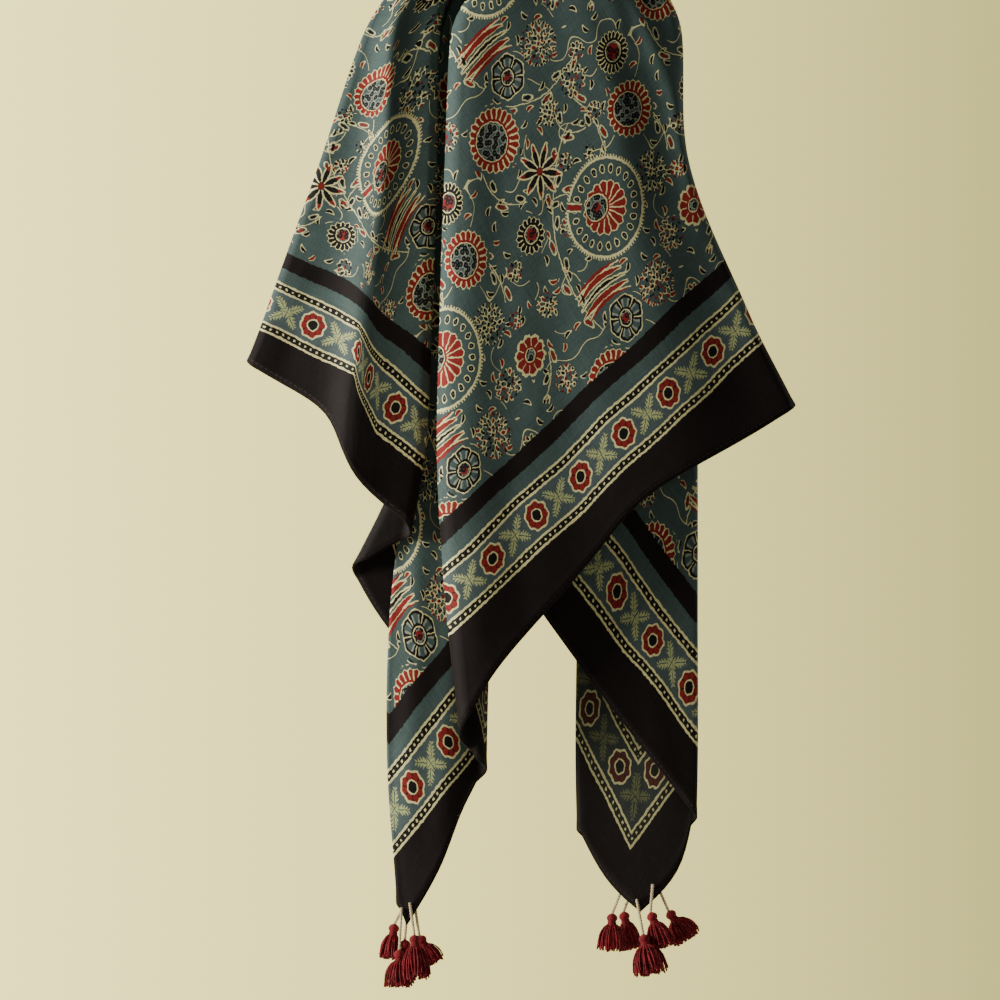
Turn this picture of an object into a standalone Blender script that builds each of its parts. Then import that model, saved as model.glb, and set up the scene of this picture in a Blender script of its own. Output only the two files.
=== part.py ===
"""A block-printed silk cloth with tassels, hung from one point so that it falls in folds.

The cloth is one rectangle. The point it hangs from is the origin, +Z is up and the
camera side is -Y. Every fold line of the cloth runs from that point down to the hem,
so the cloth is drawn as rings round the point, each ring passing all fold lines in turn.
"""

import math
import random

import bmesh
import bpy
from mathutils import Vector
from mathutils.bvhtree import BVHTree

MM = 0.001

# The flat cloth: a rectangle, held at a point inside it.
CLOTH_WIDTH = 1152.0  # the hem between the two tasselled corners
HELD_TO_LOW_HEM = 576.0
HELD_TO_HIGH_HEM = 300.0
CLOTH_LENGTH = HELD_TO_LOW_HEM + HELD_TO_HIGH_HEM
CLOTH_THICKNESS = 1.2

# The corners' places along the hem, counted from the first tasselled corner.
HEM_CORNER_B = CLOTH_WIDTH
HEM_CORNER_C = HEM_CORNER_B + CLOTH_LENGTH
HEM_CORNER_D = HEM_CORNER_C + CLOTH_WIDTH
HEM_ROUND = HEM_CORNER_D + CLOTH_LENGTH

# The soft cap over the point it hangs from. Below it the layers part in depth first,
# then the folds open sideways.
CAP_HALF_WIDTH = 30.0
CAP_HALF_DEPTH = 28.0
CAP_HEIGHT = 34.0
CAP_WIDENS = 0.28  # for each mm below the cap
LAYERS_PART = (44.0, 112.0)
FOLDS_OPEN = (92.0, 240.0)

# How far below the held point each column of the fold table lies, in mm.
X_DROPS = (100, 220, 340, 460, 580, 700, 820, 940)
DEPTH_DROPS = (220, 560, 800)

# Fold lines in the order in which a ring passes them, from the left outer edge.
# kind: left and right are turns, where the cloth doubles back on itself; pass is a ridge
# or a hollow in a layer. cap: where it leaves the round cap, as a share of the half width
# (past RIGHTMOST, on the wall side). x: the fold line's place at X_DROPS. depth: at
# DEPTH_DROPS, with the camera side negative. roll: how much deeper the next layer lies.
# hem: where the fold line meets the hem, counted along it. drop: how low the hem is there.
COLUMNS = ("name", "kind", "cap", "x", "depth", "roll", "hem", "drop")
FOLD_ROWS = (
    ("left_edge", "left", -1.0, (-58, -119, -161, -204, -245, -245, -245, -245), (2, 1, 1), -14, -576, 496),
    ("left_panel", "pass", -0.88, (-48, -100, -114, -134, -152, -152, -152, -152), (-6, -8, -8), 0, -498, 536),
    ("left_ridge", "pass", -0.76, (-40, -86, -100, -118, -140, -140, -140, -140), (-26, -32, -32), 0, -456, 577),
    ("left_fall", "pass", -0.65, (-35, -74, -84, -96, -112, -116, -116, -116), (-21, -26, -26), 0, -424, 601),
    ("valley", "right", -0.53, (-30, -62, -66, -70, -77, -99, -99, -99), (-11, -12, -12), 17, -388, 636),
    ("side_tip", "left", -0.41, (-38, -78, -86, -94, -98, -148, -148, -148), (5.5, 5.5, 5.5), 17, -320, 660),
    ("side_tuck", "right", -0.29, (-26, -50, -54, -57, -60, -70, -76, -76), (11, 11, 11), -6, -216, 752),
    ("corner_edge", "left", -0.18, (-30, -62, -70, -80, -90, -104, -106, -98), (5, 5, 3), -6, -14, 930),
    ("corner_a", "pass", -0.06, (-26, -57, -65, -75, -85, -98, -101, -90), (2, 2, -2), 0, 0, 948),
    ("corner_swell", "pass", 0.06, (-22, -48, -55, -62, -68, -68, -64, -58), (2, 1, -6), 0, 60, 897),
    ("corner_side", "pass", 0.18, (-20, -42, -48, -52, -52, -50, -47, -46), (2, 2, -2), 0, 109, 853),
    ("front_tuck", "right", 0.29, (-8, -16, -8, -6, -12, -23, -27, -27), (-4, -4, -3), -16, 144, 823),
    ("front_edge", "left", 0.41, (-26, -52.5, -59.5, -63.5, -65.6, -58, -46, -46), (-24, -25, -22), -24, 184, 796),
    ("front_swell", "pass", 0.53, (-8, -26, -31, -33, -34, -30, -20, -20), (-40, -42, -36), 0, 232, 749),
    ("front_hollow", "pass", 0.65, (20, 24, 30, 40, 50, 60, 60, 60), (-34, -33, -30), 0, 350, 655),
    ("front_rise", "pass", 0.71, (34, 48, 58, 72, 86, 96, 96, 96), (-36, -36, -32), 0, 402, 612),
    ("front_ridge", "pass", 0.77, (48, 70, 84, 104, 122, 130, 130, 130), (-38, -38, -34), 0, 450, 589),
    ("front_crease", "pass", 0.88, (70, 96, 122, 162, 196, 196, 196, 196), (-28, -28, -28), 0, 530, 552),
    ("right_edge", "right", 1.0, (88, 126, 134, 182, 236, 236, 236, 236), (-18, -18, -18), 16, 576, 532),
    ("right_back", "pass", 0.95, (54, 74, 84, 100, 112, 112, 112, 112), (-10, -10, -9), 0, 700, 592),
    ("back_turn", "left", 0.91, (8, 14, 15, 12, 8, 4, 4, 4), (-6, -6, -5), 8, 836, 680),
    ("second_swell", "pass", 0.85, (40, 60, 66, 72, 75, 75, 75, 75), (-3, -5, -5), 0, 956, 777),
    ("second_edge", "right", 0.77, (76, 108, 118, 141, 142, 142, 142, 139), (3, 3, 3), 8, 1064, 862),
    ("second_round", "pass", 0.69, (70, 98, 110, 130, 134, 134, 134, 130), (7, 7, 6), 0, 1108, 908),
    ("corner_b", "pass", 0.62, (58, 84, 92, 100, 100, 100, 98, 96), (10, 9, 7), 0, 1152, 938),
    ("second_bulge", "pass", 0.54, (40, 60, 66, 72, 72, 72, 72, 64), (10, 10, 9), 0, 1196, 912),
    ("second_side", "left", 0.46, (24, 36, 40, 44, 45, 46, 45, 48), (13, 13, 12), 7, 1236, 872),
    ("third_edge", "right", 0.39, (70, 100, 110, 130, 132, 132, 132, 132), (21, 21, 21), 8, 1337, 804),
    ("back_tuck", "left", 0.31, (-6, -24, -40, -54, -60, -60, -60, -60), (29, 29, 29), 7, 1640, 585),
    ("back_edge", "right", 0.23, (74, 104, 112, 122, 120, 120, 120, 120), (37, 37, 37), 8, 1900, 598),
    ("corner_c", "pass", 0.16, (70, 94, 98, 102, 100, 98, 98, 98), (42, 42, 42), 0, 2028, 643),
    ("back_swell", "pass", 0.08, (30, 46, 50, 52, 52, 52, 52, 52), (49, 50, 50), 0, 2310, 460),
    ("high_hem", "pass", 0.0, (-4, 6, 6, 4, 0, 0, 0, 0), (43, 43, 43), 0, 2604, 297),
    ("back_ridge", "pass", -0.3, (-26, -32, -36, -38, -38, -38, -38, -38), (50, 50, 50), 0, 2900, 470),
    ("corner_d", "pass", -0.6, (-38, -52, -58, -62, -66, -68, -68, -68), (42, 42, 42), 0, 3180, 643),
    ("left_back", "pass", -0.8, (-46, -78, -92, -104, -110, -110, -110, -110), (36, 34, 34), 0, 3330, 517),
)
FOLDS = [dict(zip(COLUMNS, row)) for row in FOLD_ROWS]
RIGHTMOST = 18  # the row where the ring turns from the camera side to the wall side

TURN_ANGLES = (-90, -45, 0, 45, 90)
WIDE_LAYER = 72.0  # a layer wider than this gets one more column for each such width
CAP_TURN_SHARE = 0.3  # how much of the way to the next fold line a turn takes up on the cap
SHORT_LAYER = 14.0  # a layer shorter than this slants between its two turns,
SHORT_LAYER_ROLL = 0.5  # which keep this share of their roll
TURN_ROOM = 0.42  # the share of a narrow layer that its turn may take up
TOP_RINGS = (5.0, 15.0, 32.0, 50.0, 68.0, 84.0, 100.0)
LOWER_RINGS = 13
RING_SPREAD = 1.15  # lower rings lie closer together near the top


def smooth(t):
    """0 to 1 with level ends, for t from 0 to 1."""
    t = min(1.0, max(0.0, t))
    return t * t * (3 - 2 * t)


def along(drops, values, drop):
    """A smooth curve through values at drops, read at one drop."""
    if drop <= drops[0]:
        return values[0] + (values[1] - values[0]) * (drop - drops[0]) / (drops[1] - drops[0])
    if drop >= drops[-1]:
        return values[-1]
    k = next(i for i in range(len(drops) - 1) if drop <= drops[i + 1])
    gap = drops[k + 1] - drops[k]
    t = (drop - drops[k]) / gap
    before = values[max(k - 1, 0)]
    after = values[min(k + 2, len(values) - 1)]
    slope_in = (values[k + 1] - before) / 2
    slope_out = (after - values[k]) / 2
    a = 2 * t**3 - 3 * t**2 + 1
    b = t**3 - 2 * t**2 + t
    c = -2 * t**3 + 3 * t**2
    d = t**3 - t**2
    return a * values[k] + b * slope_in + c * values[k + 1] + d * slope_out


def cap_spread(drop):
    """How far open the round cap is at a drop, from 0 to 1."""
    return math.sqrt(1 - (1 - min(1.0, drop / CAP_HEIGHT)) ** 2)


def opened(drop):
    """How far the folds are open sideways, from 0 on the cap to 1 below it."""
    return smooth((drop - FOLDS_OPEN[0]) / (FOLDS_OPEN[1] - FOLDS_OPEN[0]))


def fold_x(row, drop):
    """How far right of the held point a fold line lies."""
    fold = FOLDS[row % len(FOLDS)]
    widened = CAP_WIDENS * max(0.0, drop - CAP_HEIGHT)
    on_cap = fold["cap"] * (CAP_HALF_WIDTH * cap_spread(drop) + widened)
    return on_cap + (along(X_DROPS, fold["x"], drop) - on_cap) * opened(drop)


def fold_point(row, drop, angle=0.0):
    """Where a ring passes a fold line; a turn is a half round, entered at -90 and left at 90."""
    fold = FOLDS[row % len(FOLDS)]
    x = fold_x(row, drop)
    depth = along(DEPTH_DROPS, fold["depth"], max(drop, DEPTH_DROPS[0]))
    if fold["kind"] == "pass":
        return x, depth
    side = 1 if fold["kind"] == "right" else -1
    before = fold_x(row - 1, drop) - x
    after = fold_x(row + 1, drop) - x
    radius = min(abs(fold["roll"]) / 2, TURN_ROOM * min(abs(before), abs(after)))
    turn = math.radians(angle)
    on_cap = CAP_TURN_SHARE * abs(angle) / 90 * (after if angle > 0 else before)
    folded = -side * radius * (1 - math.cos(turn))
    share = opened(drop)
    layer = abs(after if angle > 0 else before)
    roll = fold["roll"] * (SHORT_LAYER_ROLL + (1 - SHORT_LAYER_ROLL) * smooth(layer / SHORT_LAYER))
    return x + on_cap * (1 - share) + folded * share, depth + roll / 2 * math.sin(turn)


def layer_point(row, drop, share):
    """A point of the layer between a fold line and the next one."""
    start = fold_point(row, drop, 90)
    end = fold_point(row + 1, drop, -90)
    x = start[0] + (end[0] - start[0]) * share
    return x, start[1] + (end[1] - start[1]) * smooth(share)


def hem_reach(fold, angle):
    """How far along the hem a point of a turn lies."""
    if fold["kind"] == "pass":
        return fold["hem"]
    return fold["hem"] + abs(fold["roll"]) / 2 * math.radians(angle)


def ring_columns():
    """Every column of the ring: its row, turn angle, share of the layer and place on the hem."""
    columns = []
    for row, fold in enumerate(FOLDS):
        following = FOLDS[(row + 1) % len(FOLDS)]
        angles = (0,) if fold["kind"] == "pass" else TURN_ANGLES
        for angle in angles:
            columns.append({"row": row, "angle": angle, "share": 0, "hem": hem_reach(fold, angle)})
        start = hem_reach(fold, 90)
        end = hem_reach(following, -90)
        if end < start:
            end += HEM_ROUND
        extra = min(int((end - start) / WIDE_LAYER), 5)
        for n in range(1, extra + 1):
            share = n / (extra + 1)
            hem = start + (end - start) * share
            columns.append({"row": row, "angle": None, "share": share, "hem": hem})
    return columns


def hem_drop(hem):
    """How low the hem hangs at a place along it."""
    points = sorted((fold["hem"] % HEM_ROUND, fold["drop"]) for fold in FOLDS)
    points = [(points[-1][0] - HEM_ROUND, points[-1][1])] + points
    points.append((points[1][0] + HEM_ROUND, points[1][1]))
    hem %= HEM_ROUND
    for (h0, d0), (h1, d1) in zip(points, points[1:]):
        if h0 <= hem <= h1:
            return d0 + (d1 - d0) * (hem - h0) / (h1 - h0)
    raise ValueError(hem)


def cap_depth(column):
    """Where a column leaves the round cap, as a share of its half depth."""
    share = CAP_TURN_SHARE * (column["angle"] or 0) / 90
    if column["angle"] is None:
        share = CAP_TURN_SHARE + (1 - 2 * CAP_TURN_SHARE) * column["share"]
    row = column["row"]
    here = FOLDS[row]["cap"]
    other = FOLDS[(row + (1 if share > 0 else -1)) % len(FOLDS)]["cap"]
    across = here + (other - here) * abs(share)
    deep = math.sqrt(max(0, 1 - across**2))
    return -deep if 0 < row + share < RIGHTMOST else deep


def cloth_point(column, drop):
    """A point of the cloth, in mm."""
    if column["angle"] is None:
        x, depth = layer_point(column["row"], drop, column["share"])
    else:
        x, depth = fold_point(column["row"], drop, column["angle"])
    cap_y = CAP_HALF_DEPTH * cap_spread(drop) * cap_depth(column)
    parted = smooth((drop - LAYERS_PART[0]) / (LAYERS_PART[1] - LAYERS_PART[0]))
    return Vector((x, cap_y + (depth - cap_y) * parted, -drop))


TASSEL_COLUMNS = ("name", "side", "cord_top", "head", "foot", "half_width")
# side: the face of the cloth the cord is sewn to. cord_top, head, foot: places in mm.
TASSEL_ROWS = (
    ("a1", "back", (-94.0, -938), (-100.6, 10, -948), (-104.8, 8, -976), 6.8),
    ("a2", "front", (-94.7, -944), (-96.4, -6, -967), (-97, -10, -996), 10.5),
    ("a3", "front", (-88.0, -933), (-84.4, -8, -955), (-82, -22, -988), 9.2),
    ("a4", "back", (-84.0, -936), (-80.8, 4, -957), (-68.8, 2, -979), 7.5),
    ("a5", "back", (-90.4, -941), (-92.4, 10, -961), (-91.2, 15, -988), 8.0),
    ("b1", "back", (82.8, -921), (74.2, 13, -940), (73.2, 13, -970), 9.2),
    ("b2", "back", (88.0, -928), (83.4, 24, -940), (90.4, 26, -970), 8.0),
    ("b3", "front", (93.6, -931), (98.4, -3, -955), (104.8, -13, -986), 12.5),
    ("b4", "front", (106.4, -919), (104.4, 2, -938), (115.2, 0, -966), 9.0),
    ("b5", "back", (110.6, -921), (119.2, 13, -938), (135.2, 13, -961), 10.4),
)
CORD_RADIUS = 0.8
CORD_ON_CLOTH = 2.0  # how far a cord reaches up the cloth from its lowest meeting point
CORD_SIDES = 6
CORD_STEPS = 6
CORD_ABOVE_HEAD = 0.65  # the air between a cord's end and the tassel's head
RAY_START = 300.0  # in front of the cloth, or behind it
GAP = 0.35  # the air left between neighbouring pieces

HEAD_PROFILE = ((0.9, 2.7), (2.8, 4.3), (5.4, 4.0), (7.2, 2.9), (8.6, 2.9), (9.4, 3.9), (10.6, 3.9))
HEAD_SIDES = 10
STRAND_ROOT = 9.9  # below the head's top
STRAND_COUNT = 11  # round the outside of a skirt, with two more inside it
INNER_STRANDS = 0.36  # how far out those two stand, as a share of the half width
STRAND_SIDES = 4
STRAND_STEPS = 3
ROOT_HALF_WIDTH = 2.9
ROOT_HALF_DEPTH = 2.6
ROOT_RADIUS = 0.5
REACH_SHARES = (0.9, 1.03)  # the shortest and the longest strand of a skirt
BELL_POWER = 0.9  # how soon a skirt widens below its neck
FOOT_TRIM = 0.8  # the share of its radius that a strand keeps at its foot
STRAND_MARGIN = 1.4  # from the middle of the outer strands to the skirt's outline
SKIRT_DEPTH_SHARE = 0.55  # a skirt's half depth, as a share of its half width
SKIRT_LEAST_DEPTH = 4.2
STRAND_FILL = 0.37  # a strand's foot radius, as a share of the way to the next strand

SILK_COLOUR = (0.10, 0.16, 0.17)
SILK_ROUGHNESS = 0.5
YARN_COLOUR = (0.28, 0.01, 0.02)
CORD_COLOUR = (0.55, 0.46, 0.28)
YARN_ROUGHNESS = 0.8


def fabric(name, colour, roughness):
    material = bpy.data.materials.new(name)
    material.use_nodes = True
    shader = material.node_tree.nodes["Principled BSDF"]
    shader.inputs["Base Color"].default_value = (*colour, 1)
    shader.inputs["Roughness"].default_value = roughness
    shader.inputs["Metallic"].default_value = 0
    return material


def make_object(name, points, faces, material):
    mesh = bpy.data.meshes.new(name)
    mesh.from_pydata([Vector(p) * MM for p in points], [], faces)
    mesh.materials.append(material)
    mesh.shade_smooth()
    made = bpy.data.objects.new(name, mesh)
    bpy.context.scene.collection.objects.link(made)
    return made


def make_cloth(material):
    columns = ring_columns()
    points = [Vector((0, 0, 0))]
    for drop in TOP_RINGS:
        points += [cloth_point(column, drop) for column in columns]
    for ring in range(1, LOWER_RINGS + 1):
        share = (ring / LOWER_RINGS) ** RING_SPREAD
        for column in columns:
            lowest = hem_drop(column["hem"])
            points.append(cloth_point(column, TOP_RINGS[-1] + (lowest - TOP_RINGS[-1]) * share))
    count = len(columns)
    faces = [(0, 1 + i, 1 + (i + 1) % count) for i in range(count)]
    for ring in range(len(TOP_RINGS) + LOWER_RINGS - 1):
        top = 1 + ring * count
        for i in range(count):
            j = (i + 1) % count
            faces.append((top + i, top + count + i, top + count + j, top + j))
    cloth = make_object("cloth", points, faces, material)
    solid = cloth.modifiers.new("thickness", "SOLIDIFY")
    solid.thickness = CLOTH_THICKNESS * MM
    solid.offset = 0
    return cloth


def tube(centres, radii, sides):
    """Points and faces of a closed tube through the centres."""
    points = []
    faces = []
    for k, centre in enumerate(centres):
        ahead = centres[min(k + 1, len(centres) - 1)]
        behind = centres[max(k - 1, 0)]
        along_it = (ahead - behind).normalized()
        across = along_it.cross(Vector((0, 1, 0))).normalized()
        up = across.cross(along_it)
        for n in range(sides):
            turn = 2 * math.pi * n / sides
            points.append(centre + (across * math.cos(turn) + up * math.sin(turn)) * radii[k])
    for k in range(len(centres) - 1):
        for n in range(sides):
            m = (n + 1) % sides
            low, high = k * sides, (k + 1) * sides
            faces.append((low + n, low + m, high + m, high + n))
    faces.append(tuple(reversed(range(sides))))
    faces.append(tuple(range((len(centres) - 1) * sides, len(centres) * sides)))
    return points, faces


def face_outwards(thing):
    shell = bmesh.new()
    shell.from_mesh(thing.data)
    bmesh.ops.recalc_face_normals(shell, faces=shell.faces)
    shell.to_mesh(thing.data)
    shell.free()


def tassel_frame(row):
    """The head's top, and the directions along, across and into a tassel."""
    head = Vector(row["head"])
    foot = Vector(row["foot"])
    down = (foot - head).normalized()
    across = Vector((0, 1, 0)).cross(down).normalized()
    return head, down, across, down.cross(across), (foot - head).length


def make_head(row, material):
    head, down, across, deep, _ = tassel_frame(row)
    points = [head]
    for drop, radius in HEAD_PROFILE:
        for n in range(HEAD_SIDES):
            turn = 2 * math.pi * n / HEAD_SIDES
            side = across * math.cos(turn) + deep * math.sin(turn)
            points.append(head + down * drop + side * radius)
    points.append(head + down * HEAD_PROFILE[-1][0])
    last = len(points) - 1
    faces = []
    for n in range(HEAD_SIDES):
        m = (n + 1) % HEAD_SIDES
        faces.append((0, 1 + n, 1 + m))
        for k in range(len(HEAD_PROFILE) - 1):
            top, low = 1 + k * HEAD_SIDES, 1 + (k + 1) * HEAD_SIDES
            faces.append((top + n, low + n, low + m, top + m))
        low = 1 + (len(HEAD_PROFILE) - 1) * HEAD_SIDES
        faces.append((last, low + m, low + n))
    made = make_object("tassel_" + row["name"], points, faces, material)
    face_outwards(made)
    return made


def strand_places(half_width, half_depth):
    """Where the strands of a skirt go, as shares of its half width and half depth, with the foot radius."""
    ring = math.pi * (half_width + half_depth)
    radius = STRAND_FILL * ring / STRAND_COUNT
    places = []
    for n in range(STRAND_COUNT):
        turn = 2 * math.pi * (n + 0.5) / STRAND_COUNT
        places.append((math.cos(turn), math.sin(turn), radius))
    for side in (-1, 1):
        places.append((INNER_STRANDS * side, 0.0, radius))
    return places


def make_skirt(row, chance, material):
    head, down, across, deep, length = tassel_frame(row)
    half_width = row["half_width"] - STRAND_MARGIN
    half_depth = max(SKIRT_LEAST_DEPTH, row["half_width"] * SKIRT_DEPTH_SHARE)
    points = []
    faces = []
    for right, back, foot_radius in strand_places(half_width, half_depth):
        reach = (length - STRAND_ROOT) * chance.uniform(*REACH_SHARES)
        root = head + down * STRAND_ROOT
        root = root + across * right * ROOT_HALF_WIDTH + deep * back * ROOT_HALF_DEPTH
        end = head + down * (STRAND_ROOT + reach)
        end = end + across * right * half_width + deep * back * half_depth
        centres = []
        radii = []
        for k in range(STRAND_STEPS + 1):
            t = k / STRAND_STEPS
            outward = math.sin(t * math.pi / 2) ** BELL_POWER
            straight = root + down * reach * t
            sideways = (end - root) - down * reach
            centres.append(straight + sideways * outward)
            radii.append(ROOT_RADIUS + (foot_radius - ROOT_RADIUS) * outward)
        radii[-1] *= FOOT_TRIM
        strand_points, strand_faces = tube(centres, radii, STRAND_SIDES)
        faces += [tuple(i + len(points) for i in face) for face in strand_faces]
        points += strand_points
    skirt = make_object("skirt_" + row["name"], points, faces, material)
    face_outwards(skirt)
    skirt.hide_render = True
    skirt.display_type = "WIRE"
    return skirt


def make_tassel(row, chance, material):
    head = make_head(row, material)
    skirt = make_skirt(row, chance, material)
    joined = head.modifiers.new("skirt", "BOOLEAN")
    joined.operation = "UNION"
    joined.solver = "EXACT"
    joined.object = skirt


def make_cord(row, surface, material):
    """A cord from the cloth's face down to the tassel's head."""
    head, down, _, _, _ = tassel_frame(row)
    away = -1 if row["side"] == "front" else 1
    x, z = row["cord_top"]
    hit = None
    while hit is None:
        start = Vector((x, RAY_START * away, z)) * MM
        hit = surface.ray_cast(start, Vector((0, -away, 0)))[0]
        z += 1
    clear = away * (GAP + CORD_RADIUS)
    top = Vector((x, hit.y / MM + clear, z + CORD_ON_CLOTH))
    low = head - down * CORD_ABOVE_HEAD
    centres = []
    for k in range(CORD_STEPS + 1):
        t = k / CORD_STEPS
        point = top.lerp(low, t)
        point.y = top.y + (low.y - top.y) * t * t
        centres.append(point)
    points, faces = tube(centres, [CORD_RADIUS] * len(centres), CORD_SIDES)
    cord = make_object("cord_" + row["name"], points, faces, material)
    face_outwards(cord)


def clear_scene():
    for thing in list(bpy.data.objects):
        bpy.data.objects.remove(thing)


def main():
    clear_scene()
    cloth = make_cloth(fabric("printed_silk", SILK_COLOUR, SILK_ROUGHNESS))
    chance = random.Random(7)
    surface = BVHTree.FromObject(cloth, bpy.context.evaluated_depsgraph_get())
    for values in TASSEL_ROWS:
        row = dict(zip(TASSEL_COLUMNS, values))
        make_tassel(row, chance, fabric("tassel_yarn_" + row["name"], YARN_COLOUR, YARN_ROUGHNESS))
        make_cord(row, surface, fabric("cord_yarn_" + row["name"], CORD_COLOUR, YARN_ROUGHNESS))


main()
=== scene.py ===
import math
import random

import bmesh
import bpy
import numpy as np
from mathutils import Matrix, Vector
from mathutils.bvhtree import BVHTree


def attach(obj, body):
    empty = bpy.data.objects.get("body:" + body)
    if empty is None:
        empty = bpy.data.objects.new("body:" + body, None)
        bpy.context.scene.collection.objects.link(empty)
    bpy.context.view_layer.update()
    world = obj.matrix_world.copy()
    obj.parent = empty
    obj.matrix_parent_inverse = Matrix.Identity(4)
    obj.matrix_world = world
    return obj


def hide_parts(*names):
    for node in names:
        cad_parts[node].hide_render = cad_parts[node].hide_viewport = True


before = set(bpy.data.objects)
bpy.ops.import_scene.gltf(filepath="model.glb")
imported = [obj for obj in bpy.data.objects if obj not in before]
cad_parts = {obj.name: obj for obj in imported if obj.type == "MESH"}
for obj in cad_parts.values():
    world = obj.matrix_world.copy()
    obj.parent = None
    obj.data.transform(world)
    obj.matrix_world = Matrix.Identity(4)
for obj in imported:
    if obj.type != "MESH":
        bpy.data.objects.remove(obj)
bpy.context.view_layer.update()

# %% [markdown]
# # A block-printed silk cloth with tassels
#
# The real thing is one large rectangle of thin satin silk, printed with wooden blocks and
# hung up from one point, so that it falls in uneven folds. Two of its corners carry a
# bunch of crimson tassels on cream cords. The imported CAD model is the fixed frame: it has
# the same folds as plain solids. Here the cloth is drawn again on those folds as a much
# finer sheet, which carries the print, and each tassel is built from spun yarn.
#
# All lengths below are in millimetres until a mesh is made, because a maker of cloth
# thinks in millimetres. The origin is the point that the cloth hangs from, +Z is up and
# the camera stands on the -Y side.

MM = 0.001

# %% [markdown]
# ## The camera comes first
#
# The photograph is taken straight on, from about three metres, with a long lens, so the
# hems keep their slants and nothing is drawn out at the sides. A frame of 0.8 m across
# at the cloth gives the photograph's crop: the knot itself is above the picture. The
# shift stays at zero and depth of field stays off, so every other view works as well.

# %% Camera
VIEW_DISTANCE = 3.0
VIEW_CENTRE = (-0.016, -0.608)
LENS_MM = 135.0
SENSOR_MM = 36.0

camera_data = bpy.data.cameras.new("view_camera")
camera_data.lens = LENS_MM
camera_data.sensor_width = SENSOR_MM
camera = bpy.data.objects.new("view_camera", camera_data)
camera.location = (VIEW_CENTRE[0], -VIEW_DISTANCE, VIEW_CENTRE[1])
camera.rotation_euler = (math.radians(90), 0, 0)
bpy.context.scene.collection.objects.link(camera)
bpy.context.scene.camera = camera
print("frame width at the cloth:", round(VIEW_DISTANCE * SENSOR_MM / LENS_MM, 3), "m")

# %% [markdown]
# ## The folds of the hanging cloth
#
# Held at one point, a cloth falls in folds that all start there: each fold line is a ray
# of the flat cloth, from the held point out to the hem. So the folds can be written as a
# short table, one row for each fold line, with its place at a few heights. A ring round
# the held point then passes all the fold lines in turn, as in the CAD source. The table
# is the same but for the left folds, which were looked at once more. A cloth simulation
# would find folds of its own, and never just these.

# %% The flat cloth and its fold lines
CLOTH_WIDTH = 1152.0  # the hem between the two tasselled corners
HELD_TO_LOW_HEM = 576.0
HELD_TO_HIGH_HEM = 300.0
CLOTH_LENGTH = HELD_TO_LOW_HEM + HELD_TO_HIGH_HEM

# The corners' places along the hem, counted from the first tasselled corner.
HEM_CORNER_B = CLOTH_WIDTH
HEM_CORNER_C = HEM_CORNER_B + CLOTH_LENGTH
HEM_CORNER_D = HEM_CORNER_C + CLOTH_WIDTH
HEM_ROUND = HEM_CORNER_D + CLOTH_LENGTH

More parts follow.
